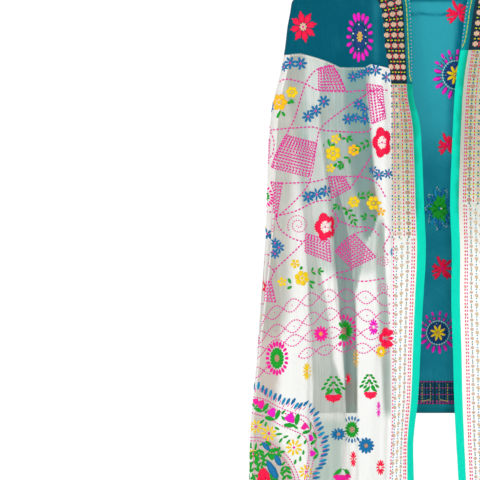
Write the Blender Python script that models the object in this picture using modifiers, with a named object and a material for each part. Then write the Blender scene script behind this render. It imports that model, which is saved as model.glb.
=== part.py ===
"""Phulkari shawl laid over a wooden clothes hanger.

The shawl is one long rectangle: a sheer middle panel, a pale panel at each end, a woven
border and an edge tape along both long edges. It lies over the hanger like a shrug, so that
its long upper edge runs round the back of the neck and down both sides of the front opening,
and its long lower edge is the back hem. The cloth that the turn leaves over stands in deep
upright pleats at each side.

Frame: metres, +Z up, +X to the shawl's own left, front towards -Y. The origin is the point
inside the top of the hook where a rail carries the hanger.
"""

import math

import bmesh
import bpy
import numpy as np

# Cloth
WALL = 0.0013
GAP = 0.0003
SEAM_GAP = 0.0006  # between middle surfaces, so that walls that meet at an angle keep GAP
BORDER = 0.038
TAPE = 0.014
BAND = BORDER + TAPE

# Hanger
APEX_Z = -0.085
ARM_SLOPE = 0.445
ARM_BEND = 0.020
ARM_END_X = 0.2224
FOLD_OVER = 0.011  # radius at which the cloth turns over the arm
WOOD_HALF = 0.0092
WOOD_TALL = 0.027
WOOD_END = 0.012  # length of each rounded arm end
WOOD_INSIDE_CLOTH = 0.002
HOOK_INSIDE = 0.021
HOOK_WIRE = 0.0021
HOOK_STEM = 0.012
HOOK_TURN = (-62.0, 205.0)  # degrees round the loop, from the stem to the tip

# Neck, hem and ends of the hung cloth
NECK_X = 0.066
INNER_RIDGE_X = 0.116
BACK_NECK_Z = -0.125
BACK_HEM_Z = -0.845
FRONT_END_Z = -1.114
NECK_CURVE = 1.6  # power of the band's dip behind the neck
SIDE_SEAM_Z = -0.268
SEAM_SHARE = 0.85  # the back seam, as a share of the way from centre back to the side

# How the cloth stands off below the ridge
FRONT_SWELL = 0.027
BACK_SWELL = 0.030
SWELL_DEPTH = 0.75
SIDE_ROUND = 0.4  # share of the space between front and back that the side bows out by
FRONT_SETTLE = 0.06  # depth in which a fall line leaves its place on the ridge
BACK_SETTLE = 0.20
FOLD_START = 0.07
FOLD_FADE = 0.12

# How the upper band leaves the ridge and rolls back at the opening edge
BAND_SETTLE = 0.06
BAND_LEVEL = 0.12
ROLL = 0.010
ROLL_DEPTH = 0.10

# Upright pleats at each side: how far in from the outline each turn lies, outer and inner
# turns by turns, from the front panel to the back panel.
PLEAT_TURNS = (0.000, 0.086, 0.010, 0.100, 0.004, 0.074, 0.018)
PLEAT_DEPTH_Y = 0.078
PLEAT_TURN_R = 0.0055
PLEAT_START_Z = -0.36
PLEAT_FULL_Z = -0.90
PLEAT_ONSET = 3  # how much sooner the rounding goes than the pleats deepen

# Grid
FRONT_COLUMNS = 16
TURN_STEPS = 4
NECK_SHARES = (0.99, 0.965, 0.92, 0.85, 0.66, 0.44, 0.22, 0.0)
OVER_ANGLES = (0.0, 34.0, 64.0, 90.0)
UPPER_ROWS = 2
LOWER_ROWS = (0.026, 0.10, 0.20, 0.31, 0.42, 0.53, 0.64, 0.76, 0.88, 1.0)

# z, half gap at the opening edge: wearer's right, left; the border's inner line: right, left;
# and the outline
GAP_RIGHT, GAP_LEFT, INNER_RIGHT, INNER_LEFT, OUTLINE = 1, 2, 3, 4, 5
SECTIONS = (
    (-0.108, 0.0680, 0.0680, 0.1185, 0.1185, 0.2300),
    (-0.150, 0.0520, 0.0560, 0.1010, 0.1050, 0.2305),
    (-0.184, 0.0412, 0.0490, 0.0890, 0.0960, 0.2325),
    (-0.200, 0.0404, 0.0465, 0.0868, 0.0935, 0.2348),
    (-0.219, 0.0396, 0.0440, 0.0845, 0.0910, 0.2384),
    (-0.258, 0.0384, 0.0392, 0.0816, 0.0860, 0.2432),
    (-0.296, 0.0384, 0.0330, 0.0745, 0.0810, 0.2500),
    (-0.335, 0.0370, 0.0290, 0.0722, 0.0770, 0.2600),
    (-0.373, 0.0275, 0.0270, 0.0720, 0.0750, 0.2664),
    (-0.431, 0.0232, 0.0242, 0.0720, 0.0740, 0.2718),
    (-0.507, 0.0205, 0.0215, 0.0720, 0.0735, 0.2756),
    (-0.584, 0.0178, 0.0240, 0.0720, 0.0740, 0.2802),
    (-0.661, 0.0220, 0.0230, 0.0720, 0.0745, 0.2862),
    (-0.738, 0.0262, 0.0254, 0.0724, 0.0755, 0.2912),
    (-0.821, 0.0306, 0.0274, 0.0728, 0.0765, 0.2960),
    (-0.885, 0.0376, 0.0304, 0.0740, 0.0775, 0.2988),
    (-0.949, 0.0370, 0.0340, 0.0770, 0.0790, 0.2998),
    (-1.030, 0.0362, 0.0350, 0.0780, 0.0800, 0.3000),
    (-1.120, 0.0380, 0.0360, 0.0800, 0.0810, 0.3004),
)

# Soft folds: x at the top and the bottom, z from and to, half width, height (a trough is
# negative). Each one fades out below its lower end, over FOLD_FADE.
RIGHT_FOLDS = (
    (0.0930, 0.0785, -0.235, -0.590, 0.017, 0.0100),
    (0.1380, 0.1420, -0.190, -0.560, 0.024, -0.0060),
    (0.1880, 0.1640, -0.330, -1.110, 0.018, 0.0080),
    (0.1450, 0.1410, -0.560, -1.110, 0.015, -0.0090),
    (0.1070, 0.1050, -0.600, -1.110, 0.021, 0.0065),
    (0.2080, 0.1960, -0.480, -1.110, 0.012, -0.0050),
    (0.2400, 0.2260, -0.300, -1.110, 0.022, 0.0050),
)
LEFT_FOLDS = (
    (0.1060, 0.0960, -0.225, -0.620, 0.018, 0.0085),
    (0.1480, 0.1440, -0.200, -0.600, 0.024, -0.0060),
    (0.1900, 0.1840, -0.300, -1.110, 0.020, 0.0085),
    (0.1400, 0.1500, -0.620, -1.110, 0.015, -0.0085),
    (0.1120, 0.1100, -0.640, -1.110, 0.020, 0.0060),
    (0.2200, 0.2120, -0.440, -1.110, 0.014, -0.0060),
    (0.2500, 0.2420, -0.340, -1.110, 0.020, 0.0050),
)
BACK_FOLDS = (
    (0.0450, 0.0620, -0.260, -0.845, 0.024, 0.0060),
    (0.0900, 0.1080, -0.230, -0.845, 0.020, -0.0045),
    (0.1350, 0.1560, -0.260, -0.845, 0.024, 0.0065),
)

# Height of the seam across each front: x, z
RIGHT_SEAM = (
    (0.0745, -0.2914),
    (0.1080, -0.2830),
    (0.1170, -0.2880),
    (0.1550, -0.2880),
    (0.1740, -0.2790),
    (0.1940, -0.2722),
    (0.2180, -0.2658),
    (0.2500, -0.2680),
)
LEFT_SEAM = (
    (0.0800, -0.2610),
    (0.1100, -0.2560),
    (0.1300, -0.2660),
    (0.1650, -0.2700),
    (0.2050, -0.2640),
    (0.2500, -0.2680),
)

TEAL = (0.008, 0.130, 0.155)
DEEP_TEAL = (0.006, 0.045, 0.065)
CREAM = (0.80, 0.78, 0.68)
PALE_BROCADE = (0.70, 0.60, 0.46)
TURQUOISE = (0.010, 0.250, 0.280)
MINT = (0.020, 0.680, 0.440)
BEECH = (0.52, 0.33, 0.17)
STEEL = (0.62, 0.62, 0.64)


class Half:
    """The tables and the direction of X of one half of the shawl."""

    def __init__(self, name, sign, gap_column, inner_column, folds, seam):
        self.name = name
        self.sign = sign
        self.gap_column = gap_column
        self.inner_column = inner_column
        self.folds = folds
        self.seam = seam


HALVES = (
    Half("right", -1, GAP_RIGHT, INNER_RIGHT, RIGHT_FOLDS, RIGHT_SEAM),
    Half("left", 1, GAP_LEFT, INNER_LEFT, LEFT_FOLDS, LEFT_SEAM),
)


def eased(share):
    share = np.clip(share, 0.0, 1.0)
    return share * share * (3 - 2 * share)


def rounded_over(depth, radius=FOLD_OVER):
    """0 on the ridge of the arm and 1 from one radius below it, along a quarter circle."""
    share = np.clip(depth / radius, 0.0, 1.0)
    return np.sqrt(1 - (1 - share) ** 2)


def over_arm(x, z):
    """rounded_over at the depth below the ridge over x."""
    return rounded_over(ridge_z(np.minimum(x, ARM_END_X)) - z)


def along(z, column):
    """A smooth line through one column of SECTIONS, at the heights z."""
    rows = np.array(SECTIONS[::-1])
    heights, values = rows[:, 0], rows[:, column]
    slopes = np.gradient(values, heights)
    z = np.clip(z, heights[0], heights[-1])
    k = np.clip(np.searchsorted(heights, z) - 1, 0, len(heights) - 2)
    step = heights[k + 1] - heights[k]
    t = (z - heights[k]) / step
    start = values[k] * (1 + 2 * t) * (1 - t) ** 2 + slopes[k] * step * t * (1 - t) ** 2
    end = values[k + 1] * t * t * (3 - 2 * t) + slopes[k + 1] * step * t * t * (t - 1)
    return start + end


def ridge_z(x):
    """Height of the cloth's ridge over the hanger's arms."""
    return APEX_Z - ARM_SLOPE * (np.hypot(x, ARM_BEND) - ARM_BEND)


def relief(x, z, folds):
    """How far the soft folds stand out of the cloth."""
    total = np.zeros(np.broadcast(x, z).shape)
    for x_top, x_bottom, z_from, z_to, half_width, height in folds:
        fall = (z_from - z) / (z_from - z_to)
        centre = x_top + (x_bottom - x_top) * np.clip(fall, 0, 1)
        across = np.clip((x - centre) / half_width, -1, 1)
        fade = eased(fall / 0.25) * (1 - eased((z_to - z) / FOLD_FADE))
        total = total + height * np.cos(across * math.pi / 2) ** 2 * fade
    return total


def front_y(x, z, half):
    depth = ridge_z(np.minimum(x, ARM_END_X)) - z
    swell = FRONT_SWELL * eased(depth / SWELL_DEPTH)
    return -(FOLD_OVER + swell + relief(x, z, half.folds) * eased(depth / FOLD_START))


def back_y(x, z):
    depth = ridge_z(np.minimum(x, ARM_END_X)) - z
    swell = BACK_SWELL * eased(depth / SWELL_DEPTH)
    return FOLD_OVER + swell + relief(x, z, BACK_FOLDS) * eased(depth / FOLD_START)


def pleat_plan():
    """(share of the way round, reach in from the outline, share of the depth) of each column
    of the side, from the front panel to the back panel."""
    pitch = 1 / len(PLEAT_TURNS)
    rows = []
    for k, inset in enumerate(PLEAT_TURNS):
        outward = 1 if k % 2 == 0 else -1
        for angle in np.linspace(0, math.pi, TURN_STEPS + 1):
            reach = inset + outward * PLEAT_TURN_R * (1 - math.sin(angle))
            rows.append((reach, (k + (1 - math.cos(angle)) / 2) * pitch))
    reach, level = np.array(rows).T
    steps = np.hypot(np.diff(reach), np.diff(level) * PLEAT_DEPTH_Y)
    around = np.concatenate(([0.0], np.cumsum(steps))) / steps.sum()
    return around, reach, level


AROUND, REACH, LEVEL = pleat_plan()
FRONT_SHARES = np.linspace(0, 1, FRONT_COLUMNS + 1)
BACK_SHARES = np.concatenate(
    (
        (ARM_END_X + (INNER_RIDGE_X - ARM_END_X) * FRONT_SHARES) / ARM_END_X,
        np.array(NECK_SHARES) * INNER_RIDGE_X / ARM_END_X,
    )
)
LAST_FRONT = FRONT_COLUMNS
FIRST_BACK = FRONT_COLUMNS + len(AROUND) - 1
COLUMNS = FIRST_BACK + len(BACK_SHARES)
SEAM_COLUMN = FIRST_BACK + int(np.argmin(abs(BACK_SHARES - SEAM_SHARE)))
RIDGE_COLUMN = FIRST_BACK + FRONT_COLUMNS
CORNER_COLUMN = FIRST_BACK - 2 * (TURN_STEPS + 1)
INNER_CORNER = CORNER_COLUMN - TURN_STEPS - 1


def pleating(z):
    return eased((PLEAT_START_Z - z) / (PLEAT_START_Z - PLEAT_FULL_Z))


def side_x(z, around, reach):
    """X of a side column: round the outline high up, and in and out of the pleats below."""
    bow = SIDE_ROUND * side_depth(z) * (1 - np.sin(math.pi * around))
    return along(z, OUTLINE) - bow * (1 - pleating(z)) - pleating(z) * reach


def side_depth(z):
    """How far apart front and back lie at the side."""
    depth = np.maximum(ridge_z(ARM_END_X) - z, 0)
    return 2 * FOLD_OVER + (FRONT_SWELL + BACK_SWELL) * eased(depth / SWELL_DEPTH)


def neck_line_z(x, inner):
    """Height of the upper band's inner line, or of its edge, behind the neck."""
    ridge_x = INNER_RIDGE_X if inner else NECK_X
    low = BACK_NECK_Z - (BAND if inner else 0)
    return low + (ridge_z(ridge_x) - low) * (x / ridge_x) ** NECK_CURVE


def column_top(column):
    """(x, z) of the highest point of a column."""
    if column <= LAST_FRONT:
        x = INNER_RIDGE_X + (ARM_END_X - INNER_RIDGE_X) * FRONT_SHARES[column]
    elif column < FIRST_BACK:
        x = ARM_END_X
    else:
        x = BACK_SHARES[column - FIRST_BACK] * ARM_END_X
    return x, ridge_z(x) if column <= RIDGE_COLUMN else neck_line_z(x, True)


def cloth_point(column, z, half):
    """(x, y) arrays of one column at the heights z, on the half's own side."""
    x_top, z_top = column_top(column)
    depth = z_top - z
    if column <= LAST_FRONT:
        share = FRONT_SHARES[column]
        inner = along(z, half.inner_column)
        x = inner + (side_x(z, AROUND[0], REACH[0]) - inner) * share
        x = x + (x_top - x) * (1 - eased(depth / (FOLD_OVER + FRONT_SETTLE * (1 - share))))
        return x, front_y(x, z, half) * over_arm(x, z)
    if column < FIRST_BACK:
        k = column - LAST_FRONT
        x = side_x(z, AROUND[k], REACH[k])
        x = x + (x_top - x) * (1 - rounded_over(depth))
        start = front_y(side_x(z, AROUND[0], REACH[0]), z, half)
        end = back_y(side_x(z, 1.0, REACH[-1]), z)
        full = pleating(z)
        rounded = (1 - math.cos(math.pi * AROUND[k])) / 2
        pleated = (1 - full) * AROUND[k] + full * LEVEL[k]
        level = rounded + (pleated - rounded) * eased(full * PLEAT_ONSET)
        return x, (start + (end - start) * level) * rounded_over(depth)
    share = BACK_SHARES[column - FIRST_BACK]
    x = share * side_x(z, 1.0, REACH[-1])
    x = x + (x_top - x) * (1 - eased(depth / (FOLD_OVER + BACK_SETTLE * (1 - share))))
    return x, back_y(x, z) * over_arm(x, z)


def seam_z(column, half):
    if column > LAST_FRONT:
        return SIDE_SEAM_Z
    x, _ = cloth_point(column, np.array(SIDE_SEAM_Z), half)
    xs, zs = np.array(half.seam).T
    return float(np.interp(x, xs, zs))


def lower_line_z(column, above_edge):
    """Height of a line that runs above_edge over the free lower edge: level along the front's
    end and the back hem, and climbing across the last pleats between them."""
    first = INNER_CORNER if above_edge > TAPE else CORNER_COLUMN
    if column <= first:
        return FRONT_END_Z + min(above_edge, TAPE)
    share = min((column - first) / (SEAM_COLUMN - first), 1.0)
    low = FRONT_END_Z + min(above_edge, TAPE)
    return low + (BACK_HEM_Z + above_edge - low) * share


def column_heights(column, half):
    """Heights of the column's rows, from the ridge to the free edge."""
    _, top = column_top(column)
    turned = top - FOLD_OVER
    seam = seam_z(column, half)
    inner = lower_line_z(column, BAND)
    tape = lower_line_z(column, TAPE)
    angles = np.radians(OVER_ANGLES)
    return np.concatenate(
        (
            top - FOLD_OVER * (1 - np.cos(angles)),
            np.linspace(turned, seam, UPPER_ROWS + 1)[1:],
            seam + (inner - seam) * np.array(LOWER_ROWS),
            ((inner + tape) / 2, tape, lower_line_z(column, 0)),
        )
    )


SEAM_ROW = len(OVER_ANGLES) - 1 + UPPER_ROWS
PANEL_END = SEAM_ROW + len(LOWER_ROWS)
TAPE_ROW = PANEL_END + 2
BOTTOM_ROW = TAPE_ROW + 1


def cloth_grid(half):
    """Points of the half's cloth between the upper band and the free edge, by row and column."""
    grid = np.empty((BOTTOM_ROW + 1, COLUMNS, 3))
    for column in range(COLUMNS):
        z = column_heights(column, half)
        x, y = cloth_point(column, z, half)
        grid[:, column] = np.stack((x * half.sign, y, z), axis=1)
    return grid


def band_grid(half):
    """Points of the upper band from centre back, over the ridge and down the front: a row for
    each place along it, and columns from the edge tape to the inner line."""
    widths = np.array((0.0, TAPE, TAPE + BORDER / 2, BAND)) / BAND
    rows = []
    for column in range(COLUMNS - 1, RIDGE_COLUMN, -1):
        inner_x, inner_z = column_top(column)
        inner_x = float(cloth_point(column, np.array(inner_z), half)[0])
        outer_x = inner_x * NECK_X / INNER_RIDGE_X
        x = outer_x + (inner_x - outer_x) * widths
        outer_z = neck_line_z(outer_x, False)
        z = outer_z + (inner_z - outer_z) * widths
        y = back_y(x, z) * over_arm(x, z)
        rows.append(np.stack((x * half.sign, y, z), axis=1))
    heights = column_heights(0, half)
    heights[-2:] = FRONT_END_Z + TAPE, FRONT_END_Z
    rise = ridge_z(NECK_X) - ridge_z(INNER_RIDGE_X)
    for inner_z in heights:
        below = heights[0] - inner_z
        outer_z = inner_z + rise * (1 - eased(below / BAND_LEVEL))
        inner_x = float(cloth_point(0, np.array(inner_z), half)[0])
        free = rounded_over(below, BAND_SETTLE)
        outer_x = NECK_X + (float(along(outer_z, half.gap_column)) - NECK_X) * free
        x = outer_x + (inner_x - outer_x) * widths
        z = outer_z + (inner_z - outer_z) * widths
        roll = ROLL * eased(below / ROLL_DEPTH) * (1 - widths) ** 2
        y = front_y(inner_x, inner_z, half) * (over_arm(x, z) if below > 0 else 0)
        rows.append(np.stack((x * half.sign, y + roll, z), axis=1))
    return np.array(rows)


BAND_RIDGE = COLUMNS - 1 - RIDGE_COLUMN
BAND_SEAM = {"right": BAND_RIDGE + SEAM_ROW + 1, "left": BAND_RIDGE + SEAM_ROW}


def material(name, colour, roughness, metallic=0.0):
    made = bpy.data.materials.new(name)
    made.use_nodes = True
    shader = made.node_tree.nodes["Principled BSDF"]
    shader.inputs["Base Color"].default_value = (*colour, 1)
    shader.inputs["Roughness"].default_value = roughness
    shader.inputs["Metallic"].default_value = metallic
    return made


def add_object(name, mesh, finish, collection):
    obj = bpy.data.objects.new(name, mesh)
    collection.objects.link(obj)
    obj.data.materials.append(finish)
    return obj


def draw_back_edges(mesh):
    """Moves a sheet's edges in by half a gap, square to each edge, so that pieces don't touch."""
    moves = {}
    for edge in mesh.edges:
        if not edge.is_boundary:
            continue
        face = edge.link_faces[0]
        a, b = edge.verts
        direction = (b.co - a.co).normalized()
        inward = face.calc_center_median() - a.co
        inward -= direction * inward.dot(direction)
        for vertex in edge.verts:
            moves.setdefault(vertex, []).append(inward.normalized())
    for vertex, inwards in moves.items():
        first, last = inwards[0], inwards[-1]
        vertex.co += (first + last) * (SEAM_GAP / 2 / max(1 + first.dot(last), 0.4))


def add_cloth(name, sheets, finish, collection):
    """A wall round the quads of one or more grids. A sheet is (points, keep), where
    keep(row, column) chooses its quads."""
    mesh = bmesh.new()
    for points, keep in sheets:
        made = {}
        for row in range(points.shape[0] - 1):
            for column in range(points.shape[1] - 1):
                if not keep(row, column):
                    continue
                ring = ((row, column), (row, column + 1), (row + 1, column + 1), (row + 1, column))
                for place in ring:
                    if place not in made:
                        made[place] = mesh.verts.new(points[place])
                mesh.faces.new([made[place] for place in ring])
    bmesh.ops.remove_doubles(mesh, verts=mesh.verts, dist=2e-5)
    bmesh.ops.recalc_face_normals(mesh, faces=mesh.faces)
    draw_back_edges(mesh)
    data = bpy.data.meshes.new(name)
    mesh.to_mesh(data)
    mesh.free()
    data.shade_smooth()
    obj = add_object(name, data, finish, collection)
    wall = obj.modifiers.new("Wall", "SOLIDIFY")
    wall.thickness = WALL
    wall.offset = 0
    return obj


def add_panels(grids, collection):
    teal = material("teal georgette", TEAL, 0.62)
    cream = material("cream georgette", CREAM, 0.66)

    def in_middle(row, column):
        return row < PANEL_END and (row < SEAM_ROW or column >= SEAM_COLUMN)

    def in_end(row, column):
        return SEAM_ROW <= row < PANEL_END and column < SEAM_COLUMN

    add_cloth("middle_panel", [(grid, in_middle) for grid in grids.values()], teal, collection)
    for side, grid in grids.items():
        add_cloth("end_panel_" + side, [(grid, in_end)], cream, collection)


def add_lower_bands(grids, collection):
    deep = material("deep brocade", DEEP_TEAL, 0.5)
    pale = material("pale brocade", PALE_BROCADE, 0.5)
    turquoise = material("turquoise tape", TURQUOISE, 0.45)
    mint = material("mint tape", MINT, 0.45)

    def middle_border(row, column):
        return PANEL_END <= row < TAPE_ROW and column >= SEAM_COLUMN

    def end_border(row, column):
        return PANEL_END <= row < TAPE_ROW and INNER_CORNER <= column < SEAM_COLUMN

    def middle_tape(row, column):
        return row == TAPE_ROW and column >= SEAM_COLUMN

    def end_tape(row, column):
        return row == TAPE_ROW and column < SEAM_COLUMN

    both = list(grids.values())
    add_cloth("border_lower_middle", [(g, middle_border) for g in both], deep, collection)
    add_cloth("tape_lower_middle", [(g, middle_tape) for g in both], turquoise, collection)
    for side, grid in grids.items():
        add_cloth("border_lower_" + side, [(grid, end_border)], pale, collection)
        add_cloth("tape_lower_" + side, [(grid, end_tape)], mint, collection)


def add_upper_bands(bands, collection):
    deep = bpy.data.materials["deep brocade"]
    pale = bpy.data.materials["pale brocade"]
    turquoise = bpy.data.materials["turquoise tape"]
    mint = bpy.data.materials["mint tape"]

    def strip(side, first, middle):
        """Chooses the quads from one column on, on the middle or the end side of the seam."""
        seam = BAND_SEAM[side]
        return lambda row, column: (column >= 1) == (first == 1) and (row < seam) == middle

    def sheets(sides, first, middle):
        return [(bands[side], strip(side, first, middle)) for side in sides]

    add_cloth("border_upper_middle", sheets(bands, 1, True), deep, collection)
    add_cloth("tape_upper_middle", sheets(bands, 0, True), turquoise, collection)
    for side in bands:
        add_cloth("border_upper_" + side, sheets([side], 1, False), pale, collection)
        add_cloth("tape_upper_" + side, sheets([side], 0, False), mint, collection)


def arm_section(x, end_x):
    """The ring of points round the wood at x: a round top and a chamfered underside."""
    inset = max(0.0, abs(x) - (end_x - WOOD_END)) / WOOD_END
    size = math.sqrt(max(1 - inset**2, 0.04))
    half = WOOD_HALF * size
    centre = float(ridge_z(x)) - FOLD_OVER
    low = centre + half - WOOD_TALL * size
    ring = [(half * math.cos(a), centre + half * math.sin(a)) for a in np.radians(range(180, -1, -30))]
    ring += [(half * 0.9, low), (half * 0.5, low - half * 0.5)]
    ring += [(-half * 0.5, low - half * 0.5), (-half * 0.9, low)]
    return [(x, y, z) for y, z in ring]


def add_hanger_arms(collection):
    """Two wooden arms in one piece, lofted through round-topped sections."""
    end_x = ARM_END_X - WOOD_INSIDE_CLOTH
    bend = np.linspace(0, 1.5 * ARM_BEND, 4)
    straight = np.linspace(3 * ARM_BEND, end_x - WOOD_END, 6)
    half_xs = np.concatenate((bend, straight, end_x - WOOD_END * np.array((0.5, 0.17, 0.0))))
    mesh = bmesh.new()
    rings = []
    for x in np.concatenate((-half_xs[:0:-1], half_xs)):
        rings.append([mesh.verts.new(point) for point in arm_section(x, end_x)])
    for a, b in zip(rings, rings[1:]):
        for k in range(len(a)):
            after = (k + 1) % len(a)
            mesh.faces.new((a[k], a[after], b[after], b[k]))
    mesh.faces.new(rings[0])
    mesh.faces.new(rings[-1][::-1])
    bmesh.ops.recalc_face_normals(mesh, faces=mesh.faces)
    data = bpy.data.meshes.new("hanger_arms")
    mesh.to_mesh(data)
    mesh.free()
    data.shade_smooth()
    add_object("hanger_arms", data, material("beech", BEECH, 0.38), collection)


def add_hook(collection):
    """Steel wire: a stem out of the wood and an open loop whose inside top is the origin."""
    radius = HOOK_INSIDE + HOOK_WIRE
    turn = np.radians(np.linspace(*HOOK_TURN, 19))
    loop = [(radius * math.cos(a), radius * math.sin(a) - HOOK_INSIDE) for a in turn]
    foot = float(ridge_z(0.0)) - FOLD_OVER + WOOD_HALF + GAP
    points = [(0.0, foot), (0.0, foot + HOOK_STEM)]
    for share in (0.35, 0.7):
        sideways = loop[0][0] * float(eased(share)) * 0.9
        points.append((sideways, points[1][1] + (loop[0][1] - points[1][1]) * share))
    points += loop
    curve = bpy.data.curves.new("hanger_hook", "CURVE")
    curve.dimensions = "3D"
    curve.bevel_depth = HOOK_WIRE
    curve.bevel_resolution = 2
    curve.use_fill_caps = True
    spline = curve.splines.new("POLY")
    spline.points.add(len(points) - 1)
    for target, (x, z) in zip(spline.points, points):
        target.co = (x, 0.0, z, 1.0)
    add_object("hanger_hook", curve, material("hook steel", STEEL, 0.22, 1.0), collection)


def main():
    for obj in list(bpy.data.objects):
        bpy.data.objects.remove(obj)
    collection = bpy.data.collections.new("phulkari_shawl")
    bpy.context.scene.collection.children.link(collection)
    grids = {half.name: cloth_grid(half) for half in HALVES}
    bands = {half.name: band_grid(half) for half in HALVES}
    add_panels(grids, collection)
    add_lower_bands(grids, collection)
    add_upper_bands(bands, collection)
    add_hanger_arms(collection)
    add_hook(collection)


main()
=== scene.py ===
"""Looks of a phulkari shawl hung over a wooden clothes hanger.

The cloth is drawn again, finer, from the same sizes as its solids: sheer teal and cream
georgette, woven borders and edge tapes. The hand embroidery is laid on it stitch by stitch.

Frame: metres, +Z up, +X to the shawl's own left, front towards -Y. The origin is inside the
top of the hook. A place on a front is (across, down): millimetres from the centre front and
below the origin.
"""

import math
from collections import namedtuple

import bmesh
import bpy
import mathutils
import numpy as np
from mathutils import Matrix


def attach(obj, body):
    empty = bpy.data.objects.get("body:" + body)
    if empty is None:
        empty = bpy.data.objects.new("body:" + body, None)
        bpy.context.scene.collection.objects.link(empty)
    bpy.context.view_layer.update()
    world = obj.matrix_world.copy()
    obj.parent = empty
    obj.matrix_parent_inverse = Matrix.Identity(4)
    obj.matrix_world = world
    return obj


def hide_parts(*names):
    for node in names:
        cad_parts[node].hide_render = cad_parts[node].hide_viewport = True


MM = 0.001

# Cut and hanger
BORDER = 0.038
TAPE = 0.014
BAND = BORDER + TAPE
APEX_Z = -0.085
ARM_SLOPE = 0.445
ARM_BEND = 0.020
ARM_END_X = 0.2224
FOLD_OVER = 0.011

# Neck, hem and ends of the hung cloth
NECK_X = 0.066
INNER_RIDGE_X = 0.116
BACK_NECK_Z = -0.125
BACK_HEM_Z = -0.845
FRONT_END_Z = -1.114
NECK_CURVE = 1.6
SIDE_SEAM_Z = -0.268
SEAM_SHARE = 0.85

# How the cloth stands off below the ridge
FRONT_SWELL = 0.027
BACK_SWELL = 0.030
SWELL_DEPTH = 0.75
SIDE_ROUND = 0.4
FRONT_SETTLE = 0.06
BACK_SETTLE = 0.20
FOLD_START = 0.07
FOLD_FADE = 0.12
BAND_SETTLE = 0.06
BAND_LEVEL = 0.12
ROLL = 0.010
ROLL_DEPTH = 0.10

# Upright pleats at each side
PLEAT_TURNS = (0.000, 0.086, 0.010, 0.100, 0.004, 0.074, 0.018)
PLEAT_DEPTH_Y = 0.078
PLEAT_TURN_R = 0.0055
PLEAT_START_Z = -0.36
PLEAT_FULL_Z = -0.90
PLEAT_ONSET = 3

# Grid of the cloth
FRONT_COLUMNS = 88
BACK_COLUMNS = 60
TURN_STEPS = 8
RUN_STEPS = 4
TURN_OVER = np.radians(np.linspace(0, 90, 9))
NECK_SHARES = np.concatenate((1 - 0.15 * np.linspace(0, 1, 9)[1:] ** 1.5, np.linspace(0.8, 0, 15)))
UPPER_ROWS = 16
LOWER_ROWS = 132
BORDER_ROWS = 6
TAPE_ROWS = 3

# z, half gap at the opening edge: wearer's right, left; the border's inner line: right, left;
# and the outline
GAP_RIGHT, GAP_LEFT, INNER_RIGHT, INNER_LEFT, OUTLINE = 1, 2, 3, 4, 5
SECTIONS = (
    (-0.108, 0.0680, 0.0680, 0.1185, 0.1185, 0.2300),
    (-0.150, 0.0520, 0.0560, 0.1010, 0.1050, 0.2305),
    (-0.184, 0.0412, 0.0490, 0.0890, 0.0960, 0.2325),
    (-0.200, 0.0404, 0.0465, 0.0868, 0.0935, 0.2348),
    (-0.219, 0.0396, 0.0440, 0.0845, 0.0910, 0.2384),
    (-0.258, 0.0384, 0.0392, 0.0816, 0.0860, 0.2432),
    (-0.296, 0.0384, 0.0330, 0.0745, 0.0810, 0.2500),
    (-0.335, 0.0370, 0.0290, 0.0722, 0.0770, 0.2600),
    (-0.373, 0.0275, 0.0270, 0.0720, 0.0750, 0.2664),
    (-0.431, 0.0232, 0.0242, 0.0720, 0.0740, 0.2718),
    (-0.507, 0.0205, 0.0215, 0.0720, 0.0735, 0.2756),
    (-0.584, 0.0178, 0.0240, 0.0720, 0.0740, 0.2802),
    (-0.661, 0.0220, 0.0230, 0.0720, 0.0745, 0.2862),
    (-0.738, 0.0262, 0.0254, 0.0724, 0.0755, 0.2912),
    (-0.821, 0.0306, 0.0274, 0.0728, 0.0765, 0.2960),
    (-0.885, 0.0376, 0.0304, 0.0740, 0.0775, 0.2988),
    (-0.949, 0.0370, 0.0340, 0.0770, 0.0790, 0.2998),
    (-1.030, 0.0362, 0.0350, 0.0780, 0.0800, 0.3000),
    (-1.120, 0.0380, 0.0360, 0.0800, 0.0810, 0.3004),
)

# Soft folds: x at the top and the bottom, z from and to, half width, height
RIGHT_FOLDS = (
    (0.0930, 0.0785, -0.235, -0.590, 0.017, 0.0100),
    (0.1380, 0.1420, -0.190, -0.560, 0.024, -0.0060),
    (0.1880, 0.1640, -0.330, -1.110, 0.018, 0.0080),
    (0.1450, 0.1410, -0.560, -1.110, 0.015, -0.0090),
    (0.1070, 0.1050, -0.600, -1.110, 0.021, 0.0065),
    (0.2080, 0.1960, -0.480, -1.110, 0.012, -0.0050),
    (0.2400, 0.2260, -0.300, -1.110, 0.022, 0.0050),
)
LEFT_FOLDS = (
    (0.1060, 0.0960, -0.225, -0.620, 0.018, 0.0085),
    (0.1480, 0.1440, -0.200, -0.600, 0.024, -0.0060),
    (0.1900, 0.1840, -0.300, -1.110, 0.020, 0.0085),
    (0.1400, 0.1500, -0.620, -1.110, 0.015, -0.0085),
    (0.1120, 0.1100, -0.640, -1.110, 0.020, 0.0060),
    (0.2200, 0.2120, -0.440, -1.110, 0.014, -0.0060),
    (0.2500, 0.2420, -0.340, -1.110, 0.020, 0.0050),
)
BACK_FOLDS = (
    (0.0450, 0.0620, -0.260, -0.845, 0.024, 0.0060),
    (0.0900, 0.1080, -0.230, -0.845, 0.020, -0.0045),
    (0.1350, 0.1560, -0.260, -0.845, 0.024, 0.0065),
)

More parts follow.
